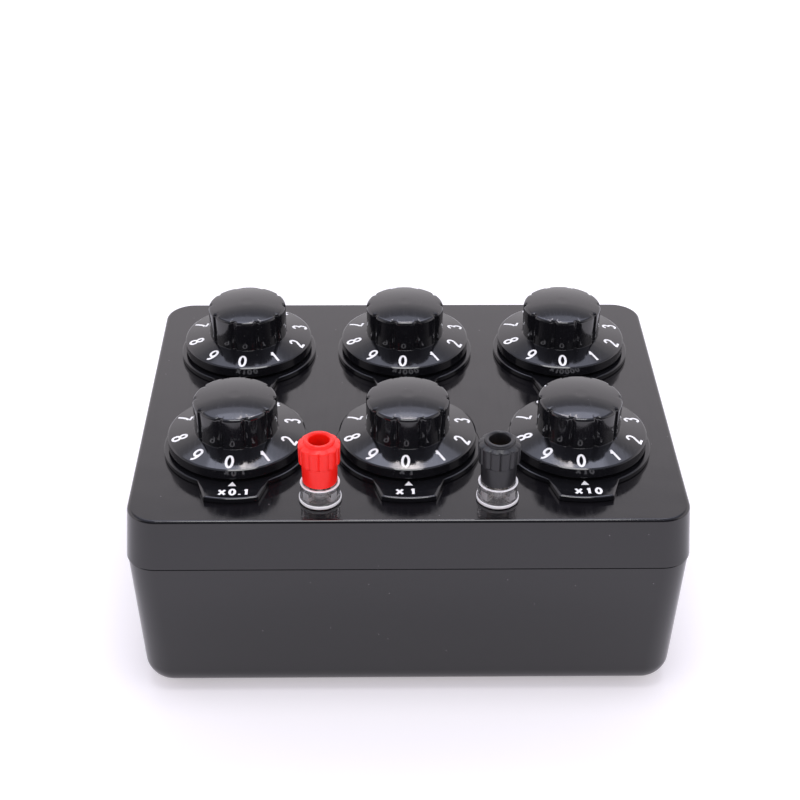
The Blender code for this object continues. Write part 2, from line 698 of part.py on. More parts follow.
def make_switches(finishes):
    """Six dials and the switches under them; what turns hangs on an empty on the dial's axis."""
    fixed = (
        ("index_plate", index_plate_mesh(), finishes["gloss"]),
        ("switch_bush", bush_mesh(), finishes["nickel"]),
        ("bush_nut", bush_nut_mesh(), finishes["nickel"]),
        ("contact_board", board_mesh(), finishes["bakelite"]),
        ("resistor_chain", resistor_chain_mesh(), finishes["resistor"]),
    )
    turning = (
        ("dial_knob", dial_mesh(), finishes["gloss"]),
        ("spindle", spindle_mesh(), finishes["brass"]),
    )
    for decade, column, row in DECADES:
        place = (*dial_centre(column, row), PANEL_TOP)
        axis = add_axis(f"dial_axis_{decade}", place)
        for name, mesh, material in fixed:
            add_piece(f"{name}_{decade}", mesh, material).location = place
        for name, mesh, material in turning:
            add_piece(f"{name}_{decade}", mesh, material, axis)


def stud_profile():
    collar_seat = TOUCH_GAP + COLLAR_FLOOR + TOUCH_GAP
    return (
        (0.0, STUD_TOP),
        (STUD_RADIUS, STUD_TOP),
        (STUD_RADIUS, SHOULDER_TOP),
        (SHOULDER_RADIUS, SHOULDER_TOP),
        (SHOULDER_RADIUS, collar_seat),
        (STUD_RADIUS, collar_seat),
        (STUD_RADIUS, -STUD_BOTTOM),
        (0.0, -STUD_BOTTOM),
    )


def collar_profile():
    """A clear cup whose broad foot stands on the panel, round the stud."""
    flange_top = TOUCH_GAP + COLLAR_FLANGE
    floor = TOUCH_GAP + COLLAR_FLOOR
    return (
        (COLLAR_RIM_RADIUS, COLLAR_RIM),
        (COLLAR_FOOT_RADIUS, flange_top),
        (COLLAR_FLANGE_RADIUS, flange_top),
        (COLLAR_FLANGE_RADIUS, TOUCH_GAP),
        (STUD_HOLE, TOUCH_GAP),
        (STUD_HOLE, floor),
        (COLLAR_FOOT_RADIUS - COLLAR_WALL, floor),
        (COLLAR_RIM_RADIUS - COLLAR_WALL, COLLAR_RIM),
    )


def cap_profile():
    """The insulating cap: a lipped socket on top, a knurled grip, and a plain neck."""
    pocket = INSERT_RADIUS + TOUCH_GAP
    ceiling = INSERT_TOP + TOUCH_GAP
    return (
        (CAP_LIP_RADIUS, CAP_TOP),
        (CAP_LIP_RADIUS, CAP_TOP - CAP_LIP_HEIGHT),
        (CAP_KNURL_RADIUS, CAP_SHOULDER),
        (CAP_KNURL_FOOT_RADIUS, CAP_KNURL_BOTTOM),
        (CAP_NECK_RADIUS, CAP_KNURL_BOTTOM - CAP_KNURL_STEP),
        (CAP_FOOT_RADIUS, CAP_BOTTOM),
        (pocket, CAP_BOTTOM),
        (pocket, ceiling),
        (SOCKET_RADIUS, ceiling),
        (SOCKET_RADIUS, CAP_TOP),
    )


def insert_profile():
    """The metal core of a cap: threaded below for the stud, a plug socket above."""
    bottom = SHOULDER_TOP + TOUCH_GAP
    return (
        (INSERT_RADIUS, INSERT_TOP),
        (INSERT_RADIUS, bottom),
        (STUD_HOLE, bottom),
        (STUD_HOLE, INSERT_THREAD_TOP),
        (PLUG_RADIUS, INSERT_THREAD_TOP),
        (PLUG_RADIUS, INSERT_TOP),
    )


def make_posts(finishes):
    """Two binding posts; their moving pieces hang on empties on the studs' axes."""
    fixed = (
        ("post_stud", finished_mesh(turned("stud_form", stud_profile(), BORE_STEPS)), "nickel"),
        ("post_collar", finished_mesh(turned("collar_form", collar_profile(), COLLAR_STEPS)), "clear"),
        ("post_nut", post_nut_mesh(), "nickel"),
    )
    insert = finished_mesh(turned("insert_form", insert_profile(), BORE_STEPS))
    cap_form = turned("cap_form", cap_profile(), RIB_COLUMNS * CAP_RIBS)
    for colour, side in POSTS:
        place = (*post_centre(side), PANEL_TOP)
        axis = add_axis(f"post_axis_{colour}", place)
        for name, mesh, finish in fixed:
            add_piece(f"{name}_{colour}", mesh, finishes[finish]).location = place
        add_piece(f"post_insert_{colour}", insert, finishes["brass"], axis)
        cap = finished_mesh(cap_form)
        flute(cap, CAP_RIBS, RIB_COLUMNS, CAP_NECK_RADIUS + CAP_RIB_DEPTH,
              CAP_KNURL_RADIUS + WELD, CAP_RIB_DEPTH)
        add_piece(f"post_cap_{colour}", cap, finishes[colour], axis)


def branch(x, y, z):
    """One wire, from a terminal straight down past the bobbins and across into the bundle."""
    side = math.copysign(1.0, y)
    level = PANEL_TOP + BUNDLE_LEVEL
    path = [(x, y, z)]
    for step in range(BEND_STEPS + 1):
        angle = step / BEND_STEPS * math.pi / 2
        path.append((x, y - side * WIRE_BEND * (1 - math.cos(angle)),
                     level + WIRE_BEND * (1 - math.sin(angle))))
    path.append((x, side * BUNDLE_RADIUS / 2, level))
    return path


def make_wiring(material):
    """The loom that joins the posts and the six switches into one chain."""
    terminals = []
    for _, column, row in DECADES:
        x, y = dial_centre(column, row)
        tie_side = -1 if column == 1 else 1
        terminals.append((x - TAG_WIDTH / 4, y - CONTACT_RING, TAG_BOTTOM))
        terminals.append((x + tie_side * TIE_PLACE, y, TIE_BOTTOM))
    for _, side in POSTS:
        terminals.append((*post_centre(side), -STUD_BOTTOM))
    paths = [branch(x, y, PANEL_TOP + z - TOUCH_GAP) for x, y, z in terminals]
    half_length = DIAL_PITCH + 2 * BUNDLE_RADIUS
    level = PANEL_TOP + BUNDLE_LEVEL
    bundle = wire_curve("bundle", BUNDLE_RADIUS, [[(-half_length, 0.0, level), (half_length, 0.0, level)]])
    loom = add_piece("wiring_loom", curve_mesh("wiring_loom", bundle), material)
    wires = curve_mesh("wires", wire_curve("wires", WIRE_RADIUS, paths))
    combine(loom, add_form("wires", wires), "UNION")


for leftover in list(bpy.data.objects):
    bpy.data.objects.remove(leftover)
pieces = new_collection("resistance_box")
cutters = new_collection("cutters")

finishes = {
    "moulding": new_material("black_moulding", BLACK_MOULDING, 0.35),
    "gloss": new_material("black_gloss", BLACK_GLOSS, 0.15),
    "red": new_material("red_plastic", SIGNAL_RED, 0.35),
    "black": new_material("black_plastic", BLACK_GLOSS, 0.35),
    "clear": new_material("clear_plastic", CLEAR, 0.05, transmission=1.0),
    "nickel": new_material("nickel_plate", NICKEL, 0.25, metallic=1.0),
    "brass": new_material("brass", BRASS, 0.30, metallic=1.0),
    "steel": new_material("steel", STEEL, 0.30, metallic=1.0),
    "bakelite": new_material("bakelite", BAKELITE, 0.45),
    "resistor": new_material("resistor_coating", RESISTOR_GREEN, 0.45),
    "wire": new_material("wire_insulation", WIRE_BLUE, 0.45),
}

make_case_base(finishes["moulding"])
make_top_panel(finishes["moulding"])
make_case_screws(finishes["steel"])
make_switches(finishes)
make_posts(finishes)
make_wiring(finishes["wire"])
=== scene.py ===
import math

import bmesh
import bpy
from mathutils import Matrix, Vector


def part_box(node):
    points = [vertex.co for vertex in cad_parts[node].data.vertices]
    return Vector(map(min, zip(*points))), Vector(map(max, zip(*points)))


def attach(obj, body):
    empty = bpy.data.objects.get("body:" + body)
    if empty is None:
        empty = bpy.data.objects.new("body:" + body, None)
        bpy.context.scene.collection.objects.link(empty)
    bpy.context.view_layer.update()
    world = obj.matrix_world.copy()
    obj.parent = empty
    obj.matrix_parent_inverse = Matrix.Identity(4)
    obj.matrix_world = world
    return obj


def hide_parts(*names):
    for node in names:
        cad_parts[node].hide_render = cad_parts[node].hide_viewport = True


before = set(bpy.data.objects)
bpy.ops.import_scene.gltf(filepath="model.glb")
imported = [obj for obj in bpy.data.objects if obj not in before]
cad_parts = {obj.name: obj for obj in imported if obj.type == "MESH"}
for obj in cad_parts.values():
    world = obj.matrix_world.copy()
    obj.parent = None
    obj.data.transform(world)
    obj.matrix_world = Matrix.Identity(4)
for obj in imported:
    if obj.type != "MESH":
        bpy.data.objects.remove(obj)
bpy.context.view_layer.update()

# Lower case
# A deep tub of black polystyrene, injection moulded: drafted walls, round corners and a full
# radius under them. Its tongue locates the lid, and bosses and four low feet are moulded with it.
MM = 0.001
RUN_PAST = 2 * MM
FOOT_STANDOFF = 1.5 * MM
TUB_CORNER = 9 * MM
TUB_FILLET = 7.7 * MM
TUB_DRAFT = 2.5 * MM
TUB_SHELF = 2.1 * MM
TONGUE_RISE = 3.3 * MM
TONGUE_WALL = 1.2 * MM
TUB_FLOOR = 2.8 * MM
FOOT_RADIUS = 6 * MM
FOOT_ROUNDING = 0.5 * MM
FOOT_PLACE = (58 * MM, 44.25 * MM)
BOSS_RADIUS = 5 * MM
BOSS_TOP = 8 * MM
COUNTERBORE_RADIUS = 3.1 * MM
COUNTERBORE_TOP = 4.5 * MM
SCREW_HOLE_RADIUS = 1.8 * MM
SEAM_ROUNDING = 0.35 * MM
CASE_CORNERS = ("front_left", "back_left", "front_right", "back_right")


def linear(hex_colour):
    """A colour written as sRGB hex, in the linear values that a shader takes."""
    shares = [int(hex_colour[i:i + 2], 16) / 255 for i in (0, 2, 4)]
    return [s / 12.92 if s <= 0.04045 else ((s + 0.055) / 1.055) ** 2.4 for s in shares] + [1.0]


def add_node(tree, kind, inputs=None, **settings):
    """A shader node with its settings; an input is set to a value, or linked if it is a socket."""
    node = tree.nodes.new("ShaderNode" + kind)
    for setting, value in settings.items():
        setattr(node, setting, value)
    for socket, value in (inputs or {}).items():
        if isinstance(value, bpy.types.NodeSocket):
            tree.links.new(value, node.inputs[socket])
        else:
            node.inputs[socket].default_value = value
    return node


def new_finish(name, **values):
    """A material with the values that are the same all over it; returns it and its shader."""
    material = bpy.data.materials.new(name)
    material.use_nodes = True
    shader = material.node_tree.nodes["Principled BSDF"]
    for socket, value in values.items():
        shader.inputs[socket.replace("_", " ").title().replace("Ior", "IOR")].default_value = value
    return material, shader


def moulded_polystyrene():
    """Injection-moulded polystyrene: a glossy black skin that is a little wavy, rubbed in faint
    streaks where it has been wiped, with specks of dust that hold to it."""
    material, shader = new_finish("black_polystyrene", ior=1.59)
    tree = material.node_tree
    place = add_node(tree, "TexCoord").outputs["Object"]
    dust_size = 3.0 * MM
    cells = add_node(tree, "TexVoronoi", {"Vector": place, "Scale": 1 / dust_size, "Randomness": 1.0})
    near = add_node(tree, "MapRange", {"Value": cells.outputs["Distance"], "From Min": 0.045,
                                       "From Max": 0.075, "To Min": 1.0, "To Max": 0.0})
    chosen = add_node(tree, "SeparateColor", {"Color": cells.outputs["Color"]})
    few = add_node(tree, "Math", {0: chosen.outputs["Red"], 1: 0.86}, operation="GREATER_THAN")
    specks = add_node(tree, "Math", {0: near.outputs["Result"], 1: few.outputs["Value"]},
                      operation="MULTIPLY")
    faint = add_node(tree, "Math", {0: specks.outputs["Value"], 1: 0.35}, operation="MULTIPLY")
    colour = add_node(tree, "Mix", {0: faint.outputs["Value"], 6: linear("131215"),
                                    7: linear("9c989c")}, data_type="RGBA")
    wiped = add_node(tree, "Mapping", {"Vector": place, "Rotation": (0.0, 0.0, 0.35),
                                       "Scale": (1.0, 0.06, 1.0)})
    streaks = add_node(tree, "TexNoise", {"Vector": wiped.outputs["Vector"], "Scale": 1 / (1.2 * MM),
                                          "Detail": 4.0, "Roughness": 0.6})
    rubbed = add_node(tree, "MapRange", {"Value": streaks.outputs["Fac"], "From Min": 0.45,
                                         "From Max": 0.75, "To Min": 0.10, "To Max": 0.19})
    waves = add_node(tree, "TexNoise", {"Vector": place, "Scale": 1 / (14 * MM), "Detail": 1.0})
    peel = add_node(tree, "TexNoise", {"Vector": place, "Scale": 1 / (1.6 * MM), "Detail": 2.0})
    wavy = add_node(tree, "Bump", {"Height": waves.outputs["Fac"], "Strength": 1.0,
                                   "Distance": 0.06 * MM})
    skin = add_node(tree, "Bump", {"Height": peel.outputs["Fac"], "Strength": 1.0,
                                   "Distance": 0.004 * MM, "Normal": wavy.outputs["Normal"]})
    tree.links.new(colour.outputs[2], shader.inputs["Base Color"])
    tree.links.new(rubbed.outputs["Result"], shader.inputs["Roughness"])
    tree.links.new(skin.outputs["Normal"], shader.inputs["Normal"])
    return material


def alone(piece):
    """Selects one piece and nothing else, because an operator works on all that is selected."""
    bpy.ops.object.select_all(action="DESELECT")
    piece.select_set(True)
    bpy.context.view_layer.objects.active = piece


def edit(piece):
    alone(piece)
    bpy.ops.object.mode_set(mode="EDIT")


def leave():
    bpy.ops.object.mode_set(mode="OBJECT")


def pick(piece, kind, wanted):
    """In edit mode, selects only the faces, edges or vertices that pass a test."""
    bpy.ops.mesh.select_mode(type=kind)
    bpy.ops.mesh.select_all(action="DESELECT")
    mesh = bmesh.from_edit_mesh(piece.data)
    for element in {"FACE": mesh.faces, "EDGE": mesh.edges, "VERT": mesh.verts}[kind]:
        if wanted(element):
            element.select_set(True)
    mesh.select_flush_mode()
    bmesh.update_edit_mesh(piece.data)


def level_edge(height):
    """A test for edges that lie at a height."""
    return lambda edge: all(abs(vert.co.z - height) < 0.01 * MM for vert in edge.verts)


def upright_edge(edge):
    run = edge.verts[1].co - edge.verts[0].co
    return abs(run.z) > 0.9 * run.length


def facing_up(height):
    return lambda face: face.normal.z > 0.9 and abs(face.calc_center_median().z - height) < 0.01 * MM


def facing_down(height):
    return lambda face: face.normal.z < -0.9 and abs(face.calc_center_median().z - height) < 0.01 * MM


def new_block(name, width, depth, bottom, top):
    bpy.ops.object.select_all(action="DESELECT")
    bpy.ops.mesh.primitive_cube_add(size=1, location=(0, 0, (top + bottom) / 2),
                                    scale=(width, depth, top - bottom))
    piece = bpy.context.object
    piece.name = name
    bpy.ops.object.transform_apply(location=True, rotation=True, scale=True)
    return piece


def new_rod(name, radius, bottom, top, x=0.0, y=0.0, sides=64):
    bpy.ops.object.select_all(action="DESELECT")
    bpy.ops.mesh.primitive_cylinder_add(vertices=sides, radius=radius, depth=top - bottom,
                                        location=(x, y, (top + bottom) / 2))
    piece = bpy.context.object
    piece.name = name
    bpy.ops.object.transform_apply(location=True, rotation=True, scale=True)
    return piece


def combine(piece, tool, operation):
    """Joins another shape to a piece, or cuts it out, and removes that shape."""
    boolean = piece.modifiers.new(operation.title(), "BOOLEAN")
    boolean.operation = operation
    boolean.solver = "EXACT"
    boolean.object = tool
    alone(piece)
    bpy.ops.object.modifier_apply(modifier=boolean.name)
    bpy.data.objects.remove(tool)


def smooth(piece, degrees=30):
    """Rounded faces shade as one surface, and flat ones stay flat beside them."""
    alone(piece)
    bpy.ops.object.shade_smooth_by_angle(angle=math.radians(degrees))
    flats = piece.modifiers.new("Flats", "WEIGHTED_NORMAL")
    flats.keep_sharp = True
    bpy.ops.object.modifier_apply(modifier=flats.name)


def paint(piece, material):
    piece.data.materials.clear()
    piece.data.materials.append(material)


def middle(node):
    """Where a piece stands on the case, from above."""
    low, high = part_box(node)
    return (low.x + high.x) / 2, (low.y + high.y) / 2


tub_low, tub_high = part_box("case_base")
tub_width = tub_high.x - tub_low.x
tub_depth = tub_high.y - tub_low.y
tub_top = tub_high.z - TONGUE_RISE
four_corners = [(sx, sy) for sx in (-1, 1) for sy in (-1, 1)]

lower_case = new_block("lower_case", tub_width, tub_depth, FOOT_STANDOFF, tub_top)
edit(lower_case)
pick(lower_case, "FACE", facing_down(FOOT_STANDOFF))
bpy.ops.transform.resize(value=(1 - 2 * TUB_DRAFT / tub_width, 1 - 2 * TUB_DRAFT / tub_depth, 1),
                         center_override=(0, 0, FOOT_STANDOFF))
pick(lower_case, "EDGE", upright_edge)
bpy.ops.mesh.bevel(offset=TUB_CORNER, segments=14, affect="EDGES")
pick(lower_case, "EDGE", level_edge(FOOT_STANDOFF))
bpy.ops.mesh.bevel(offset=TUB_FILLET, segments=12, affect="EDGES")
pick(lower_case, "EDGE", level_edge(tub_top))
bpy.ops.mesh.bevel(offset=SEAM_ROUNDING, segments=3, affect="EDGES")
pick(lower_case, "FACE", facing_up(tub_top))
bpy.ops.mesh.inset(thickness=TUB_SHELF - SEAM_ROUNDING)
bpy.ops.mesh.extrude_region_move(TRANSFORM_OT_translate={"value": (0, 0, TONGUE_RISE)})
bpy.ops.mesh.inset(thickness=TONGUE_WALL)
tub_inside = tub_top + TONGUE_RISE - FOOT_STANDOFF - TUB_FLOOR
bpy.ops.mesh.extrude_region_move(TRANSFORM_OT_translate={"value": (0, 0, -tub_inside)})
bpy.ops.transform.resize(value=(1 - 2 * TUB_DRAFT / tub_width, 1 - 2 * TUB_DRAFT / tub_depth, 1),
                         center_override=(0, 0, FOOT_STANDOFF + TUB_FLOOR))
leave()
for side_x, side_y in four_corners:
    foot = new_rod("foot", FOOT_RADIUS, 0, FOOT_STANDOFF + TUB_FLOOR / 2,
                   side_x * FOOT_PLACE[0], side_y * FOOT_PLACE[1])
    edit(foot)
    pick(foot, "EDGE", level_edge(0))
    bpy.ops.mesh.bevel(offset=FOOT_ROUNDING, segments=3, affect="EDGES")
    leave()
    combine(lower_case, foot, "UNION")
screw_places = [middle("case_screw_" + corner) for corner in CASE_CORNERS]
for x, y in screw_places:
    boss = new_rod("boss", BOSS_RADIUS, FOOT_STANDOFF + TUB_FLOOR / 2, BOSS_TOP, x, y)
    combine(lower_case, boss, "UNION")
    counterbore = new_rod("counterbore", COUNTERBORE_RADIUS, -RUN_PAST, COUNTERBORE_TOP, x, y)
    combine(lower_case, counterbore, "DIFFERENCE")
    screw_hole = new_rod("screw_hole", SCREW_HOLE_RADIUS, 0, BOSS_TOP + RUN_PAST, x, y, 24)
    combine(lower_case, screw_hole, "DIFFERENCE")
smooth(lower_case)
case_moulding = moulded_polystyrene()
paint(lower_case, case_moulding)
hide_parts("case_base")
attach(lower_case, "case")

# Lid
# The panel and its skirt are one moulding of the same black polystyrene, which overhangs the tub
# by a millimetre. It is polished above, with a small radius that catches the light at its edge.
SKIRT_HEIGHT = 17.2 * MM
SKIRT_FLARE = 1.3 * MM
LID_CORNER = 9.4 * MM
LID_EDGE = 1.0 * MM
LID_WALL = 1.8 * MM
PANEL_THICKNESS = 3 * MM
PILLAR_RADIUS = 4 * MM
PILLAR_FOOT = 8.3 * MM
PILOT_TOP = 18.5 * MM
BUSH_HOLE_RADIUS = 4.9 * MM
STUD_HOLE_RADIUS = 2.3 * MM
DECADES = ("tenths", "units", "tens", "hundreds", "thousands", "ten_thousands")
POST_COLOURS = ("red", "black")

lid_low, lid_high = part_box("top_panel")
panel_top = lid_high.z
seam = panel_top - SKIRT_HEIGHT
lid_width = lid_high.x - lid_low.x
lid_depth = lid_high.y - lid_low.y
lid = new_block("lid", lid_width, lid_depth, seam, panel_top)
edit(lid)
pick(lid, "FACE", facing_up(panel_top))
bpy.ops.transform.resize(value=(1 - 2 * SKIRT_FLARE / lid_width, 1 - 2 * SKIRT_FLARE / lid_depth, 1),
                         center_override=(0, 0, panel_top))
pick(lid, "EDGE", upright_edge)
bpy.ops.mesh.bevel(offset=LID_CORNER, segments=14, affect="EDGES")
pick(lid, "EDGE", level_edge(panel_top))
bpy.ops.mesh.bevel(offset=LID_EDGE, segments=4, affect="EDGES")
pick(lid, "EDGE", level_edge(seam))
bpy.ops.mesh.bevel(offset=SEAM_ROUNDING, segments=3, affect="EDGES")
pick(lid, "FACE", facing_down(seam))
bpy.ops.mesh.inset(thickness=LID_WALL - SEAM_ROUNDING)
bpy.ops.mesh.extrude_region_move(
    TRANSFORM_OT_translate={"value": (0, 0, SKIRT_HEIGHT - PANEL_THICKNESS)})
bpy.ops.transform.resize(value=(1 - 2 * SKIRT_FLARE / lid_width, 1 - 2 * SKIRT_FLARE / lid_depth, 1),
                         center_override=(0, 0, panel_top))
leave()
for x, y in screw_places:
    pillar = new_rod("pillar", PILLAR_RADIUS, PILLAR_FOOT, panel_top - PANEL_THICKNESS / 2, x, y, 32)
    combine(lid, pillar, "UNION")
    pilot = new_rod("pilot", SCREW_HOLE_RADIUS, PILLAR_FOOT - RUN_PAST, PILOT_TOP, x, y, 24)
    combine(lid, pilot, "DIFFERENCE")
for decade in DECADES:
    x, y = middle("bush_nut_" + decade)
    bush_hole = new_rod("bush_hole", BUSH_HOLE_RADIUS, panel_top - PANEL_THICKNESS - RUN_PAST,
                        panel_top + RUN_PAST, x, y, 48)
    combine(lid, bush_hole, "DIFFERENCE")
for colour in POST_COLOURS:
    x, y = middle("post_stud_" + colour)
    stud_hole = new_rod("stud_hole", STUD_HOLE_RADIUS, panel_top - PANEL_THICKNESS - RUN_PAST,
                        panel_top + RUN_PAST, x, y, 32)
    combine(lid, stud_hole, "DIFFERENCE")
smooth(lid)
paint(lid, case_moulding)
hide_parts("top_panel")
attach(lid, "case")

# Metal inside the case
# Steel case screws come up from below. Each switch has a nickel-plated bush, frame and nut and a
# brass spindle, all turned on a lathe, which leaves fine rings; the posts have nickel-plated nuts.
RING_PITCH = 0.25 * MM


def turned_metal(name, hex_colour, roughness):
    """Turned metal: the tool leaves fine rings that run round the piece, over a soft tarnish."""
    material, shader = new_finish(name, metallic=1.0, base_color=linear(hex_colour))
    tree = material.node_tree
    place = add_node(tree, "TexCoord").outputs["Object"]
    rings = add_node(tree, "TexWave", {"Vector": place, "Scale": 0.05 / RING_PITCH,
                                       "Distortion": 1.5, "Detail": 2.0}, bands_direction="Z")
    tarnish = add_node(tree, "TexNoise", {"Vector": place, "Scale": 1 / (5 * MM), "Detail": 4.0})
    dulled = add_node(tree, "MapRange", {"Value": tarnish.outputs["Fac"], "From Min": 0.3,
                                         "From Max": 0.7, "To Min": roughness - 0.06,
                                         "To Max": roughness + 0.12})
    tooled = add_node(tree, "Bump", {"Height": rings.outputs["Fac"], "Strength": 0.35,
                                     "Distance": 0.02 * MM})
    tree.links.new(dulled.outputs["Result"], shader.inputs["Roughness"])
    tree.links.new(tooled.outputs["Normal"], shader.inputs["Normal"])
    return material


nickel_plate = turned_metal("nickel_plate", "c8c3ba", 0.24)
turned_brass = turned_metal("turned_brass", "c9a45c", 0.28)
bright_steel = turned_metal("bright_steel", "b4b4b7", 0.30)

for corner in CASE_CORNERS:
    paint(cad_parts["case_screw_" + corner], bright_steel)
for decade in DECADES:
    paint(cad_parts["switch_bush_" + decade], nickel_plate)
    paint(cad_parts["bush_nut_" + decade], nickel_plate)
    paint(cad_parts["spindle_" + decade], turned_brass)
for colour in POST_COLOURS:
    paint(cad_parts["post_nut_" + colour], nickel_plate)

# Contact boards
# Each is a disc of brown paper laminate, sawn and drilled, whose paper shows as a fine mottle.


def paper_laminate():
    """Paper laminate: resin over pressed paper, brown and slightly cloudy, with a low sheen."""
    material, shader = new_finish("paper_laminate", roughness=0.42, ior=1.55)
    tree = material.node_tree
    place = add_node(tree, "TexCoord").outputs["Object"]
    fibres = add_node(tree, "TexNoise", {"Vector": place, "Scale": 1 / (0.7 * MM), "Detail": 6.0,
                                         "Roughness": 0.7})
    colour = add_node(tree, "Mix", {0: fibres.outputs["Fac"], 6: linear("5a3218"),
                                    7: linear("84502a")}, data_type="RGBA")
    relief = add_node(tree, "Bump", {"Height": fibres.outputs["Fac"], "Strength": 0.3,
                                     "Distance": 0.02 * MM})
    tree.links.new(colour.outputs[2], shader.inputs["Base Color"])
    tree.links.new(relief.outputs["Normal"], shader.inputs["Normal"])
    return material


board_laminate = paper_laminate()
for decade in DECADES:
    paint(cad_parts["contact_board_" + decade], board_laminate)

# Resistor chains
# Nine bobbins a decade are wound with fine resistance wire and dipped in green varnish, through
# which the turns still show as ridges.
WINDING_PITCH = 0.3 * MM


def varnished_winding():
    """Varnished winding: ridges a wire apart round each bobbin, darker between the turns and lighter on
    their crowns.
    """
    material, shader = new_finish("varnished_winding", roughness=0.3)
    tree = material.node_tree
    place = add_node(tree, "TexCoord").outputs["Object"]
    turns = add_node(tree, "TexWave", {"Vector": place, "Scale": 0.05 / WINDING_PITCH,
                                       "Distortion": 0.3}, bands_direction="Z")
    colour = add_node(tree, "Mix", {0: turns.outputs["Fac"], 6: linear("24402c"),
                                    7: linear("4c7a50")}, data_type="RGBA")
    relief = add_node(tree, "Bump", {"Height": turns.outputs["Fac"], "Strength": 0.8,
                                     "Distance": 0.08 * MM})
    tree.links.new(colour.outputs[2], shader.inputs["Base Color"])
    tree.links.new(relief.outputs["Normal"], shader.inputs["Normal"])
    return material


bobbin_winding = varnished_winding()
for decade in DECADES:
    paint(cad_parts["resistor_chain_" + decade], bobbin_winding)

# Wiring loom
# Single-core wires in blue PVC, laced into one bundle; the soft plastic has a satin skin.


def pvc_sleeving():
    """Extruded PVC: satin and even, with a slight bloom where it has been handled."""
    material, shader = new_finish("pvc_sleeving", ior=1.53)
    tree = material.node_tree
    place = add_node(tree, "TexCoord").outputs["Object"]
    bloom = add_node(tree, "TexNoise", {"Vector": place, "Scale": 1 / (4 * MM), "Detail": 3.0})
    colour = add_node(tree, "Mix", {0: bloom.outputs["Fac"], 6: linear("24407f"),
                                    7: linear("3a5ba6")}, data_type="RGBA")
    dulled = add_node(tree, "MapRange", {"Value": bloom.outputs["Fac"], "To Min": 0.34,
                                         "To Max": 0.5})
    tree.links.new(colour.outputs[2], shader.inputs["Base Color"])
    tree.links.new(dulled.outputs["Result"], shader.inputs["Roughness"])
    return material


paint(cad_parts["wiring_loom"], pvc_sleeving())

# Index plates
# A thin black disc under each dial with a tab in front, polished, its top edge broken by a narrow
# slope. The switch's bush nut clamps it to the panel.
PLATE_SIDES = 180
TAB_ROOT = math.radians(28)
TAB_TIP_HALF_WIDTH = 8.3 * MM
TAB_REACH = 30 * MM
PLATE_EDGE_BAND = 0.55 * MM
PLATE_EDGE_DROP = 0.26 * MM
PLATE_CHAMFER = 0.1 * MM


def polished_phenolic():
    """Polished phenolic moulding: deep black and glossy, with hairlines and a little dust."""
    material, shader = new_finish("black_phenolic", ior=1.6)
    tree = material.node_tree
    place = add_node(tree, "TexCoord").outputs["Object"]
    hairs = add_node(tree, "Mapping", {"Vector": place, "Rotation": (0.0, 0.0, 0.8),
                                       "Scale": (1.0, 0.04, 0.2)})
    lines = add_node(tree, "TexNoise", {"Vector": hairs.outputs["Vector"], "Scale": 1 / (0.5 * MM),
                                        "Detail": 3.0})
    dulled = add_node(tree, "MapRange", {"Value": lines.outputs["Fac"], "From Min": 0.5,
                                         "From Max": 0.8, "To Min": 0.09, "To Max": 0.2})
    dust = add_node(tree, "TexVoronoi", {"Vector": place, "Scale": 1 / (1.6 * MM)})
    near = add_node(tree, "MapRange", {"Value": dust.outputs["Distance"], "From Min": 0.04,
                                       "From Max": 0.10, "To Min": 0.16, "To Max": 0.0})
    chosen = add_node(tree, "SeparateColor", {"Color": dust.outputs["Color"]})
    few = add_node(tree, "Math", {0: chosen.outputs["Green"], 1: 0.7}, operation="GREATER_THAN")
    specks = add_node(tree, "Math", {0: near.outputs["Result"], 1: few.outputs["Value"]},
                      operation="MULTIPLY")
    colour = add_node(tree, "Mix", {0: specks.outputs["Value"], 6: linear("141417"),
                                    7: linear("b0adb2")}, data_type="RGBA")
    peel = add_node(tree, "TexNoise", {"Vector": place, "Scale": 1 / (2.2 * MM), "Detail": 1.0})
    skin = add_node(tree, "Bump", {"Height": peel.outputs["Fac"], "Strength": 1.0,
                                   "Distance": 0.006 * MM})
    tree.links.new(colour.outputs[2], shader.inputs["Base Color"])
    tree.links.new(dulled.outputs["Result"], shader.inputs["Roughness"])
    tree.links.new(skin.outputs["Normal"], shader.inputs["Normal"])
    return material


def copied(piece, name, x, y, turn=0.0):
    """A copy of a piece that stands on the axis, with its own mesh, turned and moved to a place."""
    copy = bpy.data.objects.new(name, piece.data.copy())
    bpy.context.scene.collection.objects.link(copy)
    copy.data.transform(Matrix.Translation((x, y, 0)) @ Matrix.Rotation(turn, 4, "Z"))
    return copy


dial_gloss = polished_phenolic()
plate_low, plate_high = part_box("index_plate_units")
plate_radius = (plate_high.x - plate_low.x) / 2
root_half_width = plate_radius * math.sin(TAB_ROOT)
root_back = -plate_radius * math.cos(TAB_ROOT)
root_bulge = plate_radius + root_back
tip_bulge = TAB_REACH - math.sqrt(TAB_REACH ** 2 - TAB_TIP_HALF_WIDTH ** 2)

bpy.ops.object.select_all(action="DESELECT")
bpy.ops.mesh.primitive_circle_add(vertices=PLATE_SIDES, radius=plate_radius, fill_type="NGON",
                                  location=(0, 0, plate_low.z))
plate = bpy.context.object
bpy.ops.object.transform_apply(location=True, rotation=True, scale=True)
edit(plate)
pick(plate, "EDGE", lambda edge: all(vert.co.y < root_back + 0.01 * MM for vert in edge.verts))
bpy.ops.mesh.extrude_region_move(
    TRANSFORM_OT_translate={"value": (0, -(TAB_REACH - tip_bulge + root_back), 0)})
bpy.ops.transform.resize(
    value=(TAB_TIP_HALF_WIDTH / root_half_width, tip_bulge / root_bulge, 1),
    center_override=(0, -(TAB_REACH - tip_bulge), plate_low.z))
bpy.ops.mesh.select_all(action="SELECT")
bpy.ops.mesh.extrude_region_move(
    TRANSFORM_OT_translate={"value": (0, 0, plate_high.z - plate_low.z - PLATE_EDGE_DROP)})
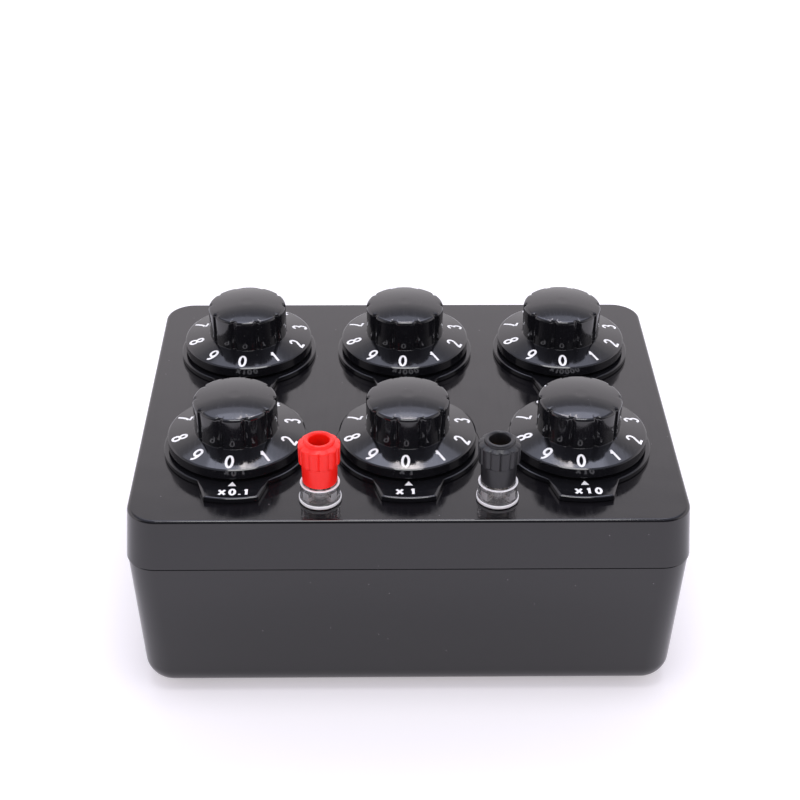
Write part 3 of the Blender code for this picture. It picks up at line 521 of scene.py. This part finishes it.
bpy.ops.mesh.inset(thickness=PLATE_EDGE_BAND)
bpy.ops.transform.translate(value=(0, 0, PLATE_EDGE_DROP))
bpy.ops.mesh.select_all(action="SELECT")
bpy.ops.mesh.normals_make_consistent(inside=False)
leave()
combine(plate, new_rod("bush_hole", BUSH_HOLE_RADIUS, plate_low.z - RUN_PAST,
                       plate_high.z + RUN_PAST, sides=48), "DIFFERENCE")
chamfer = plate.modifiers.new("Chamfer", "BEVEL")
chamfer.width = PLATE_CHAMFER
chamfer.segments = 2
chamfer.limit_method = "ANGLE"
chamfer.angle_limit = math.radians(50)
alone(plate)
bpy.ops.object.modifier_apply(modifier=chamfer.name)
smooth(plate)
paint(plate, dial_gloss)
for decade in DECADES:
    index_plate = copied(plate, "plate_" + decade, *middle("bush_nut_" + decade))
    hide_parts("index_plate_" + decade)
    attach(index_plate, "case")
bpy.data.objects.remove(plate)

# Index marks
# White ink is pad-printed on each tab: a small triangle that the dial is read against, and the
# value of one step of that dial.
INK_THICKNESS = 0.06 * MM
LABEL_HEIGHT = 2.7 * MM
LABEL_WIDTH = 1.55 * MM
LABEL_STROKE = 0.85 * MM
LABEL_PLACE = -26.6 * MM
TRIANGLE_TIP = -21.3 * MM
TRIANGLE_BASE = -23.5 * MM
TRIANGLE_HALF_WIDTH = 1.25 * MM
# What each label says, the gap between its figures, and how far to the right it was printed.
STEP_LABELS = {
    "tenths": ("x0.1", 1.45 * MM, 0.6 * MM),
    "units": ("x1", 2.6 * MM, -1.0 * MM),
    "tens": ("x10", 1.7 * MM, 0.7 * MM),
    "hundreds": ("x100", 1.45 * MM, 0.5 * MM),
    "thousands": ("x1000", 1.3 * MM, 0.0),
    "ten_thousands": ("x10000", 1.1 * MM, 0.0),
}


def bow(centre_x, centre_y, radius_x, radius_y, start, end):
    """Points of a curved stroke, an arc of an ellipse between two angles in degrees."""
    steps = max(4, round(abs(end - start) / 15))
    angles = [math.radians(start + (end - start) * i / steps) for i in range(steps + 1)]
    return [(centre_x + radius_x * math.cos(a), centre_y + radius_y * math.sin(a)) for a in angles]


# Each figure's strokes, in shares of its width and height. A stroke ends at a sharp corner, where
# another begins.
STROKES = {
    "0": [bow(0.5, 0.5, 0.5, 0.5, 90, 450)],
    "1": [[(0.62, 1.04), (0.62, 0.0)], [(0.0, 0.74), (0.36, 0.82), (0.60, 1.0)]],
    "2": [bow(0.5, 0.72, 0.5, 0.28, 170, -35) + [(0.08, 0.04)], [(-0.1, 0.0), (1.05, 0.0)]],
    "3": [bow(0.47, 0.76, 0.43, 0.24, 160, -90), bow(0.47, 0.27, 0.5, 0.27, 90, -160)],
    "4": [[(0.72, -0.06), (0.72, 1.0)], [(0.76, 1.0), (0.02, 0.27)], [(-0.06, 0.26), (1.04, 0.26)]],
    "5": [[(0.96, 1.0), (0.1, 1.0)], [(0.2, 1.05), (0.08, 0.48)], bow(0.47, 0.32, 0.5, 0.32, 130, -155)],
    "6": [bow(0.5, 0.31, 0.5, 0.31, 90, 450), bow(0.64, 0.31, 0.64, 0.69, 180, 85)],
    "7": [[(-0.04, 1.0), (1.06, 1.0)], bow(1.35, -0.05, 1.0, 1.02, 112, 180)],
    "8": [bow(0.5, 0.76, 0.42, 0.24, 90, 450), bow(0.5, 0.26, 0.5, 0.26, 90, 450)],
    "9": [bow(0.5, 0.69, 0.5, 0.31, 90, 450), bow(0.36, 0.69, 0.64, 0.69, 0, -95)],
    "x": [[(0.0, 0.0), (1.0, 0.88)], [(0.0, 0.88), (1.0, 0.0)]],
    ".": [[(0.0, -0.02), (0.0, 0.12)]],
}
NARROW = {"1": 0.62, ".": 0.0, "x": 1.2}
STROKE_STEP = 0.12


def stepped(points):
    """The points of a stroke with others between them, so that it can follow a curved surface."""
    steps = []
    for here, there in zip(points, points[1:]):
        count = max(1, round(math.dist(here, there) / STROKE_STEP))
        steps += [Vector(here).lerp(Vector(there), i / count) for i in range(count)]
    return steps + [Vector(points[-1])]


def printed(name, text, height, width, stroke, gap):
    """Figures drawn in ink of one stroke width, in a row centred on the origin, reading along X."""
    curve = bpy.data.curves.new(name, "CURVE")
    curve.dimensions = "3D"
    curve.bevel_depth = stroke / 2
    curve.bevel_resolution = 2
    curve.use_fill_caps = True
    widths = [width * NARROW.get(figure, 1.0) for figure in text]
    left = -(sum(widths) + gap * (len(text) - 1)) / 2
    for figure, figure_width in zip(text, widths):
        for stroke_shares in STROKES[figure]:
            closed = math.dist(stroke_shares[0], stroke_shares[-1]) < 0.001
            shares = stepped(stroke_shares)[:-1] if closed else stepped(stroke_shares)
            spline = curve.splines.new("POLY")
            spline.points.add(len(shares) - 1)
            spline.use_cyclic_u = closed
            for point, (across, up) in zip(spline.points, shares):
                point.co = (left + across * figure_width, (up - 0.5) * height, 0, 1)
        left += figure_width + gap
    piece = bpy.data.objects.new(name, curve)
    bpy.context.scene.collection.objects.link(piece)
    alone(piece)
    bpy.ops.object.convert(target="MESH")
    edit(piece)
    bpy.ops.mesh.select_all(action="SELECT")
    bpy.ops.mesh.remove_doubles(threshold=0.001 * MM)
    bpy.ops.mesh.normals_make_consistent(inside=False)
    bpy.ops.transform.resize(value=(1, 1, INK_THICKNESS / stroke), center_override=(0, 0, 0))
    leave()
    return piece


def printing_ink():
    """Pad-printing ink: a thin matt white film, slightly uneven where the pad lifted."""
    material, shader = new_finish("white_ink", roughness=0.5)
    tree = material.node_tree
    place = add_node(tree, "TexCoord").outputs["Object"]
    film = add_node(tree, "TexNoise", {"Vector": place, "Scale": 1 / (0.8 * MM), "Detail": 3.0})
    colour = add_node(tree, "Mix", {0: film.outputs["Fac"], 6: linear("f2f2f4"),
                                    7: linear("ffffff")}, data_type="RGBA")
    tree.links.new(colour.outputs[2], shader.inputs["Base Color"])
    return material


white_ink = printing_ink()
for decade in DECADES:
    x, y = middle("bush_nut_" + decade)
    label, label_gap, label_shift = STEP_LABELS[decade]
    mark = printed("index_mark_" + decade, label, LABEL_HEIGHT, LABEL_WIDTH, LABEL_STROKE, label_gap)
    mark.data.transform(Matrix.Translation((label_shift, LABEL_PLACE, 0)))
    bpy.ops.object.select_all(action="DESELECT")
    bpy.ops.mesh.primitive_cylinder_add(vertices=3, radius=1, depth=INK_THICKNESS)
    triangle = bpy.context.object
    edit(triangle)
    bpy.ops.transform.resize(value=(TRIANGLE_HALF_WIDTH / math.cos(math.radians(30)),
                                    (TRIANGLE_TIP - TRIANGLE_BASE) / 1.5, 1),
                             center_override=(0, 0, 0))
    leave()
    triangle.data.transform(Matrix.Translation(
        (0, TRIANGLE_BASE + (TRIANGLE_TIP - TRIANGLE_BASE) / 3, 0)))
    alone(mark)
    triangle.select_set(True)
    bpy.ops.object.join()
    mark.data.transform(Matrix.Translation((x, y, plate_high.z)))
    paint(mark, white_ink)
    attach(mark, "case")

# Dials
# Each is one black phenolic moulding: a knob with ten finger grooves on a shallow conical skirt,
# domed on top and polished. It is hollow below, and pushed on its switch's spindle.
KNOB_RADIUS = 13.1 * MM
KNOB_RIM = 18.6 * MM
KNOB_ROUNDING = 1.0 * MM
KNOB_DOME = 1.7 * MM
DOME_RINGS = 8
DOME_INNER = 0.12
DOME_OUTER = 0.91
KNOB_FOOT = 8.25 * MM
SKIRT_EDGE = 6.35 * MM
SKIRT_WALL = 1.4 * MM
SKIRT_START = 0.5 * MM
EDGE_BAND = 0.5 * MM
EDGE_DROP = 0.18 * MM
HOLLOW_TOP = 5.2 * MM
BORE_RADIUS = 3.3 * MM
BORE_TOP = 15.3 * MM
FLUTES = 10
FLUTE_DEPTH = 0.9 * MM
FLUTE_SHARES = (0.0,) * 9 + (0.12, 0.6, 0.93, 1.0, 0.93, 0.6, 0.12) + (0.0,) * 8
FLUTED = (0.92, 1.02)


def rounded(corners, steps=4):
    """A closed profile of (radius, height, rounding) corners, each drawn as a short arc."""
    points = []
    for i, (radius, height, rounding) in enumerate(corners):
        here = Vector((radius, height))
        if rounding == 0:
            points.append(tuple(here))
            continue
        back = (Vector(corners[i - 1][:2]) - here).normalized()
        on = (Vector(corners[(i + 1) % len(corners)][:2]) - here).normalized()
        half_angle = back.angle(on) / 2
        centre = here + (back + on).normalized() * rounding / math.sin(half_angle)
        first = here + back * rounding / math.tan(half_angle) - centre
        last = here + on * rounding / math.tan(half_angle) - centre
        for step in range(steps + 1):
            points.append(tuple(centre + first.lerp(last, step / steps).normalized() * rounding))
    return points


def turned(name, profile, sides, ring=True):
    """A profile of (radius, height) points turned round Z: each ring of points is extruded from
    the one before. A ring profile closes on itself; one that isn't has a flat cap at each end."""
    radius, height = profile[0]
    bpy.ops.object.select_all(action="DESELECT")
    bpy.ops.mesh.primitive_circle_add(vertices=sides, radius=radius, fill_type="NOTHING",
                                      location=(0, 0, height))
    piece = bpy.context.object
    piece.name = name
    bpy.ops.object.transform_apply(location=True, rotation=True, scale=True)
    edit(piece)
    bpy.ops.mesh.select_mode(type="EDGE")
    bpy.ops.mesh.select_all(action="SELECT")
    if not ring:
        bpy.ops.mesh.edge_face_add()
    for next_radius, next_height in profile[1:] + (profile[:1] if ring else []):
        bpy.ops.mesh.extrude_region_move(
            TRANSFORM_OT_translate={"value": (0, 0, next_height - height)})
        share = next_radius / radius
        bpy.ops.transform.resize(value=(share, share, 1), center_override=(0, 0, next_height))
        radius, height = next_radius, next_height
    bpy.ops.mesh.select_all(action="SELECT")
    bpy.ops.mesh.remove_doubles(threshold=0.002 * MM)
    bpy.ops.mesh.normals_make_consistent(inside=False)
    leave()
    return piece


def draw_in(piece, columns, shares, depth, wanted):
    """Draws columns of points of a turned piece towards its axis, each by its share of a depth,
    which leaves the flutes between the columns that stay."""
    edit(piece)
    for phase, share in enumerate(shares):
        if share == 0:
            continue

        def in_flute(vert):
            column = round(math.atan2(vert.co.y, vert.co.x) / math.tau * columns)
            return column % len(shares) == phase and wanted(vert.co)

        pick(piece, "VERT", in_flute)
        mesh = bmesh.from_edit_mesh(piece.data)
        radius = max(vert.co.to_2d().length for vert in mesh.verts if vert.select)
        draw = 1 - share * depth / radius
        bpy.ops.transform.resize(value=(draw, draw, 1), center_override=(0, 0, 0))
    leave()


skirt_low, skirt_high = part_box("dial_knob_units")
skirt_radius = (skirt_high.x - skirt_low.x) / 2
skirt_bottom = skirt_low.z - panel_top
skirt_run = skirt_radius - KNOB_RADIUS
sphere = (KNOB_RADIUS ** 2 + KNOB_DOME ** 2) / (2 * KNOB_DOME)
crown = KNOB_RIM + KNOB_DOME


def dome_height(radius):
    """The knob's top is part of a large sphere that meets its rim."""
    return crown - sphere + math.sqrt(sphere ** 2 - radius ** 2)


def skirt_height(radius):
    """The skirt's top is a shallow cone from the knob's foot to its own edge."""
    return KNOB_FOOT + (SKIRT_EDGE - KNOB_FOOT) * (radius - KNOB_RADIUS) / skirt_run


dome_radii = [KNOB_RADIUS * (DOME_INNER + (DOME_OUTER - DOME_INNER) * i / DOME_RINGS)
              for i in range(DOME_RINGS + 1)]
dial_corners = [(radius, dome_height(radius), 0) for radius in dome_radii] + [
    (KNOB_RADIUS, KNOB_RIM, KNOB_ROUNDING),
    (KNOB_RADIUS, KNOB_FOOT, 0.12 * MM),
    (KNOB_RADIUS + SKIRT_START, skirt_height(KNOB_RADIUS + SKIRT_START), 0),
    (skirt_radius - EDGE_BAND, skirt_height(skirt_radius - EDGE_BAND), 0.1 * MM),
    (skirt_radius, SKIRT_EDGE - EDGE_DROP, 0.15 * MM),
    (skirt_radius, skirt_bottom, 0.2 * MM),
    (skirt_radius - SKIRT_WALL, skirt_bottom, 0.2 * MM),
    (skirt_radius - SKIRT_WALL, HOLLOW_TOP, 0.3 * MM),
    (BORE_RADIUS, HOLLOW_TOP, 0.2 * MM),
    (BORE_RADIUS, BORE_TOP, 0),
]
dial = turned("dial", rounded(dial_corners), FLUTES * len(FLUTE_SHARES), ring=False)
draw_in(dial, FLUTES * len(FLUTE_SHARES), FLUTE_SHARES, FLUTE_DEPTH,
        lambda point: KNOB_FOOT - 0.1 * MM < point.z
        and FLUTED[0] * KNOB_RADIUS < point.to_2d().length < FLUTED[1] * KNOB_RADIUS)
dial.data.transform(Matrix.Translation((0, 0, panel_top)))
smooth(dial, 35)
paint(dial, dial_gloss)
for decade in DECADES:
    knob = copied(dial, "dial_" + decade + "_moulding", *middle("bush_nut_" + decade),
                  -math.pi / 2)
    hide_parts("dial_knob_" + decade)
    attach(knob, "dial_" + decade)
bpy.data.objects.remove(dial)

# Dial figures
# The figures 0 to 9 are printed in white round each skirt, with their feet towards its edge. They
# follow the cone, and stand a little short of square to the index mark.
FIGURE_HEIGHT = 4.5 * MM
FIGURE_WIDTH = 2.0 * MM
FIGURE_STROKE = 0.84 * MM
FIGURE_RADIUS = 18.0 * MM
FIGURE_LAG = math.radians(-2.9)
POSITIONS = 10

figures = []
for position in range(POSITIONS):
    figure = printed("figure", str(position), FIGURE_HEIGHT, FIGURE_WIDTH, FIGURE_STROKE, 0)
    turn = FIGURE_LAG + position * math.tau / POSITIONS
    figure.data.transform(Matrix.Rotation(turn, 4, "Z") @ Matrix.Translation((0, -FIGURE_RADIUS, 0)))
    for vert in figure.data.vertices:
        vert.co.z += panel_top + skirt_height(vert.co.to_2d().length)
    figures.append(figure)
alone(figures[0])
for figure in figures:
    figure.select_set(True)
bpy.ops.object.join()
figure_ring = figures[0]
paint(figure_ring, white_ink)
for decade in DECADES:
    scale_figures = copied(figure_ring, "figures_" + decade, *middle("bush_nut_" + decade))
    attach(scale_figures, "dial_" + decade)
bpy.data.objects.remove(figure_ring)

# Post studs
# Each binding post stands on a nickel-plated brass stud: a plain shoulder that shows through the
# clear collar, and above it the thread that the cap screws on.
STUD_RADIUS = 2.0 * MM
THREAD_ROOT = 1.65 * MM
THREAD_PITCH = 0.7 * MM
THREAD_TURNS = 6
SHOULDER_RADIUS = 3.2 * MM
SHOULDER_TOP = 7.1 * MM
SHOULDER_BOTTOM = 1.8 * MM

stud_low, stud_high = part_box("post_stud_red")
stud_top = stud_high.z - panel_top
stud_bottom = stud_low.z - panel_top
stud_profile = [(0.6 * STUD_RADIUS, stud_top), (THREAD_ROOT, stud_top)]
for thread in range(THREAD_TURNS):
    ridge = stud_top - (thread + 0.5) * THREAD_PITCH
    stud_profile += [(STUD_RADIUS, ridge), (THREAD_ROOT, ridge - THREAD_PITCH / 2)]
stud_profile += [(THREAD_ROOT, SHOULDER_TOP), (SHOULDER_RADIUS - 0.3 * MM, SHOULDER_TOP),
                 (SHOULDER_RADIUS, SHOULDER_TOP - 0.3 * MM), (SHOULDER_RADIUS, SHOULDER_BOTTOM),
                 (STUD_RADIUS, SHOULDER_BOTTOM), (STUD_RADIUS, stud_bottom + 0.3 * MM),
                 (STUD_RADIUS - 0.3 * MM, stud_bottom)]
stud = turned("stud", stud_profile, 48, ring=False)
stud.data.transform(Matrix.Translation((0, 0, panel_top)))
smooth(stud)
paint(stud, nickel_plate)
for colour in POST_COLOURS:
    post_stud = copied(stud, "stud_" + colour, *middle("post_stud_" + colour))
    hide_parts("post_stud_" + colour)
    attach(post_stud, "case")
bpy.data.objects.remove(stud)

# Post collars
# A cup of clear acrylic insulates each post from the panel. Its broad foot, its rim and four places low
# in its wall carry painted highlight, a milky copy of the acrylic where light gathers, and the rest is
# clear.
COLLAR_RIM = 6.5 * MM
COLLAR_RIM_RADIUS = 6.05 * MM
COLLAR_FOOT_RADIUS = 5.95 * MM
COLLAR_FLANGE_RADIUS = 6.5 * MM
COLLAR_FLANGE_TOP = 1.3 * MM
COLLAR_FLOOR = 1.5 * MM
COLLAR_BOTTOM = 0.3 * MM
COLLAR_WALL = 0.8 * MM
COLLAR_WAIST = 4.6 * MM
COLLAR_LIP = 0.3 * MM
COLLAR_SIDES = 96
# Bearing and half-width of the four painted highlight patches low in the wall.
PAINTED_PATCH_AT = math.radians(52)
PAINTED_PATCH_WIDTH = math.radians(13)


def clear_acrylic(name, clearness):
    """Moulded acrylic, water clear where it is polished; a low clearness gives the milky copy used as
    painted highlight where light gathers.
    """
    material, shader = new_finish(name, ior=1.49, base_color=linear("fdfcfd"),
                                  transmission_weight=clearness)
    tree = material.node_tree
    place = add_node(tree, "TexCoord").outputs["Object"]
    uneven = add_node(tree, "TexNoise", {"Vector": place, "Scale": 1 / (2.5 * MM), "Detail": 1.0})
    polish = add_node(tree, "MapRange", {"Value": uneven.outputs["Fac"], "To Min": 0.0,
                                         "To Max": 0.06})
    skin = add_node(tree, "Bump", {"Height": uneven.outputs["Fac"], "Strength": 0.6,
                                   "Distance": 0.03 * MM})
    tree.links.new(polish.outputs["Result"], shader.inputs["Roughness"])
    tree.links.new(skin.outputs["Normal"], shader.inputs["Normal"])
    return material


collar = turned("collar", rounded([
    (COLLAR_RIM_RADIUS, COLLAR_RIM, 0.25 * MM),
    (COLLAR_FOOT_RADIUS, COLLAR_FLANGE_TOP, 0.25 * MM),
    (COLLAR_FLANGE_RADIUS, COLLAR_FLANGE_TOP, 0.3 * MM),
    (COLLAR_FLANGE_RADIUS, COLLAR_BOTTOM, 0.15 * MM),
    (STUD_HOLE_RADIUS, COLLAR_BOTTOM, 0),
    (STUD_HOLE_RADIUS, COLLAR_FLOOR, 0),
    (COLLAR_FOOT_RADIUS - COLLAR_WALL, COLLAR_FLOOR, 0.3 * MM),
    (COLLAR_RIM_RADIUS - COLLAR_WALL - 0.04 * MM, COLLAR_WAIST, 0),
    (COLLAR_RIM_RADIUS - COLLAR_WALL, COLLAR_RIM, 0.25 * MM),
]), COLLAR_SIDES)
collar.data.transform(Matrix.Translation((0, 0, panel_top)))
smooth(collar)
paint(collar, clear_acrylic("clear_acrylic", 0.93))
# The second material is painted highlight: a milky, less clear copy of the acrylic.
collar.data.materials.append(clear_acrylic("painted_highlight_acrylic", 0.12))
# Faces on the flange, on the rim and in four patches low in the wall take the painted highlight.
for face in collar.data.polygons:
    height = face.center.z - panel_top
    out = face.center.to_2d().length
    foot = height < COLLAR_FLANGE_TOP and out > COLLAR_RIM_RADIUS
    rim = height > COLLAR_RIM - COLLAR_LIP
    from_place = abs(math.atan2(abs(face.center.x), abs(face.center.y)) - PAINTED_PATCH_AT)
    painted_patch = (COLLAR_FLOOR < height < COLLAR_WAIST and from_place < PAINTED_PATCH_WIDTH
                and STUD_RADIUS < out < COLLAR_FOOT_RADIUS)
    if foot or rim or painted_patch:
        face.material_index = 1
for colour in POST_COLOURS:
    post_collar = copied(collar, "collar_" + colour, *middle("post_collar_" + colour))
    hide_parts("post_collar_" + colour)
    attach(post_collar, "case")
bpy.data.objects.remove(collar)

# Post inserts
# A turned brass core inside each cap takes a 4 mm plug from above and the stud from below. It
# shows only deep in the cap's mouth.
for colour in POST_COLOURS:
    paint(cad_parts["post_insert_" + colour], turned_brass)

# Post caps
# Insulating caps of moulded polypropylene, one red and one black: a lipped mouth, a shoulder, a
# grip with twelve grooves, and a plain neck that goes down to the collar.
CAP_TOP = 21.7 * MM
CAP_LIP_RADIUS = 4.65 * MM
CAP_MOUTH_RADIUS = 3.15 * MM
CAP_STEP = 20.6 * MM
CAP_GRIP_RADIUS = 6.45 * MM
CAP_GRIP_TOP = 20.0 * MM
CAP_GRIP_FOOT_RADIUS = 6.3 * MM
CAP_GRIP_FOOT = 14.0 * MM
CAP_NECK_RADIUS = 5.45 * MM
CAP_NECK_FOOT_RADIUS = 5.3 * MM
CAP_BOTTOM = 6.9 * MM
CAP_POCKET_RADIUS = 3.9 * MM
CAP_POCKET_TOP = 16.7 * MM
GROOVES = 12
GROOVE_DEPTH = 0.5 * MM
GROOVE_SHARES = (1.0, 0.3, 0.1, 0.03, 0.0, 0.03, 0.1, 0.3)
CAP_FINISHES = {"red": ("ff140a", "ff2216"), "black": ("1c1c1f", "27272a")}


def moulded_polypropylene(colour):
    """Moulded polypropylene: an even colour with a soft satin skin, slightly clouded."""
    dark, light = CAP_FINISHES[colour]
    material, shader = new_finish(colour + "_polypropylene", ior=1.49)
    tree = material.node_tree
    place = add_node(tree, "TexCoord").outputs["Object"]
    cloud = add_node(tree, "TexNoise", {"Vector": place, "Scale": 1 / (2.5 * MM), "Detail": 3.0})
    mixed = add_node(tree, "Mix", {0: cloud.outputs["Fac"], 6: linear(dark), 7: linear(light)},
                     data_type="RGBA")
    sheen = add_node(tree, "MapRange", {"Value": cloud.outputs["Fac"], "To Min": 0.26,
                                        "To Max": 0.42})
    grain = add_node(tree, "TexNoise", {"Vector": place, "Scale": 1 / (0.4 * MM), "Detail": 2.0})
    skin = add_node(tree, "Bump", {"Height": grain.outputs["Fac"], "Strength": 0.5,
                                   "Distance": 0.01 * MM})
    tree.links.new(mixed.outputs[2], shader.inputs["Base Color"])
    tree.links.new(sheen.outputs["Result"], shader.inputs["Roughness"])
    tree.links.new(skin.outputs["Normal"], shader.inputs["Normal"])
    return material


cap = turned("cap", rounded([
    (CAP_MOUTH_RADIUS, CAP_TOP, 0.75 * MM),
    (CAP_LIP_RADIUS, CAP_TOP, 0.55 * MM),
    (CAP_LIP_RADIUS, CAP_STEP, 0.25 * MM),
    (CAP_GRIP_RADIUS, CAP_GRIP_TOP, 0.45 * MM),
    (CAP_GRIP_FOOT_RADIUS, CAP_GRIP_FOOT, 0.4 * MM),
    (CAP_NECK_RADIUS, CAP_GRIP_FOOT - 0.5 * MM, 0.3 * MM),
    (CAP_NECK_FOOT_RADIUS, CAP_BOTTOM, 0.3 * MM),
    (CAP_POCKET_RADIUS, CAP_BOTTOM, 0.2 * MM),
    (CAP_POCKET_RADIUS, CAP_POCKET_TOP, 0),
    (CAP_MOUTH_RADIUS, CAP_POCKET_TOP, 0),
]), GROOVES * len(GROOVE_SHARES))
draw_in(cap, GROOVES * len(GROOVE_SHARES), GROOVE_SHARES, GROOVE_DEPTH,
        lambda point: CAP_GRIP_FOOT - 0.3 * MM < point.z and point.to_2d().length > 5.7 * MM)
cap.data.transform(Matrix.Translation((0, 0, panel_top)))
smooth(cap)
for colour in POST_COLOURS:
    post_cap = copied(cap, "cap_" + colour + "_moulding", *middle("post_cap_" + colour),
                      -math.pi / 2)
    paint(post_cap, moulded_polypropylene(colour))
    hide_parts("post_cap_" + colour)
    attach(post_cap, "cap_" + colour)
bpy.data.objects.remove(cap)

# Studio
# A white table in a pale tent: bright walls, darker above them, and soft lamps overhead. Polished
# black shows them as bands and bright edges, and it mirrors a dark room behind the camera.
FLOOR_SIZE = 8.0
FLOOR_GLOW = 0.34
FLOOR_MIRRORED_GLOW = 0.22
TENT_STRENGTH = 1.3
LAMP_DISTANCE = 1.0
LAMP_SHIFT = 0.01
# How many degrees up from the back each lamp hangs, its width and depth, its power and colour
LAMPS = {
    "soft_lamp": (61, 0.9, 0.38, 1.2, "e6e9ff"),
    "soft_lamp_middle": (63, 0.6, 0.22, 0.8, "e6e9ff"),
    "bright_tube": (63.5, 0.20, 0.05, 0.45, "fff4ee"),
    "top_lamp": (97, 0.42, 0.42, 3.3, "ffffff"),
}

bpy.ops.object.select_all(action="DESELECT")
bpy.ops.mesh.primitive_plane_add(size=FLOOR_SIZE, location=(0, 0, 0))
floor = bpy.context.object
floor.name = "table"
table = bpy.data.materials.new("white_table")
table.use_nodes = True
tree = table.node_tree
tree.nodes.remove(tree.nodes["Principled BSDF"])
path = add_node(tree, "LightPath")
mirrored = add_node(tree, "Math", {0: path.outputs["Is Glossy Ray"],
                                   1: path.outputs["Is Transmission Ray"]}, operation="MAXIMUM")
faint = add_node(tree, "Math", {0: mirrored.outputs["Value"], 1: FLOOR_MIRRORED_GLOW},
                 operation="MULTIPLY")
glow = add_node(tree, "Math", {0: path.outputs["Is Camera Ray"], 1: FLOOR_GLOW,
                               2: faint.outputs["Value"]}, operation="MULTIPLY_ADD")
matt = add_node(tree, "BsdfDiffuse", {"Color": linear("e4e2e4")})
lift = add_node(tree, "Emission", {"Color": linear("fffaff"), "Strength": glow.outputs["Value"]})
both = add_node(tree, "AddShader", {0: matt.outputs["BSDF"], 1: lift.outputs["Emission"]})
tree.links.new(both.outputs["Shader"], tree.nodes["Material Output"].inputs["Surface"])
paint(floor, table)


def wall_band(tree, height, bands):
    """The tent's brightness by the sine of the elevation, as (sine, colour) pairs."""
    ramp = add_node(tree, "ValToRGB", {"Fac": height})
    ramp.color_ramp.interpolation = "EASE"
    ends = ramp.color_ramp.elements
    ends[0].position, ends[0].color = bands[0][0], linear(bands[0][1])
    ends[1].position, ends[1].color = bands[-1][0], linear(bands[-1][1])
    for position, hex_colour in bands[1:-1]:
        ends.new(position).color = linear(hex_colour)
    return ramp.outputs["Color"]


world = bpy.data.worlds.new("pale_tent")
bpy.context.scene.world = world
world.use_nodes = True
tree = world.node_tree
direction = add_node(tree, "SeparateXYZ", {"Vector": add_node(tree, "TexCoord").outputs["Generated"]})
back_walls = wall_band(tree, direction.outputs["Z"], (
    (0.0, "f6f2f7"), (0.54, "fff9ff"), (0.61, "dedae0"), (0.68, "b8b6be"), (0.73, "a8a8b4"),
    (0.80, "a8abbc"), (1.0, "a8abbc")))
camera_side = wall_band(tree, direction.outputs["Z"], (
    (0.0, "e8e8e8"), (0.05, "c8c8ca"), (0.12, "48484a"), (0.80, "48484c"), (0.90, "a8abbc"),
    (1.0, "a8abbc")))
ahead = add_node(tree, "MapRange", {"Value": direction.outputs["Y"], "From Min": -0.15,
                                    "From Max": -0.55}, interpolation_type="SMOOTHSTEP")
rays = add_node(tree, "LightPath")
shown = add_node(tree, "Math", {0: ahead.outputs["Result"], 1: rays.outputs["Is Glossy Ray"]},
                 operation="MULTIPLY")
tent = add_node(tree, "Mix", {0: shown.outputs["Value"], 6: back_walls, 7: camera_side},
                data_type="RGBA")
surround = tree.nodes["Background"]
tree.links.new(tent.outputs[2], surround.inputs["Color"])
surround.inputs["Strength"].default_value = TENT_STRENGTH

for lamp_name, (degrees, across, along, power, hex_colour) in LAMPS.items():
    elevation = math.radians(degrees)
    light = bpy.data.lights.new(lamp_name, "AREA")
    light.shape = "RECTANGLE"
    light.size, light.size_y = across, along
    light.energy = power
    light.color = linear(hex_colour)[:3]
    lamp = bpy.data.objects.new(lamp_name, light)
    bpy.context.scene.collection.objects.link(lamp)
    lamp.location = (LAMP_SHIFT, LAMP_DISTANCE * math.cos(elevation),
                     panel_top + LAMP_DISTANCE * math.sin(elevation))
    lamp.rotation_euler = (elevation - math.pi / 2, 0, 0)

# Camera
# It stands where the photograph was taken from, a little left of the middle, looking down.
FOCAL_LENGTH = 74.23
CAMERA_PLACE = Vector((-9.55 * MM, -460.65 * MM, panel_top + 293.52 * MM))
CAMERA_DOWN = math.radians(32.45)
CAMERA_YAW = math.radians(0.94)
CAMERA_ROLL = math.radians(0.34)

lens = bpy.data.cameras.new("camera")
lens.lens = FOCAL_LENGTH
lens.sensor_width = 36
lens.clip_start = 0.01
camera = bpy.data.objects.new("camera", lens)
bpy.context.scene.collection.objects.link(camera)
camera.matrix_world = (Matrix.Translation(CAMERA_PLACE) @ Matrix.Rotation(-CAMERA_YAW, 4, "Z")
                       @ Matrix.Rotation(math.pi / 2 - CAMERA_DOWN, 4, "X")
                       @ Matrix.Rotation(CAMERA_ROLL, 4, "Z"))
bpy.context.scene.camera = camera
bpy.context.scene.view_settings.view_transform = "Standard"
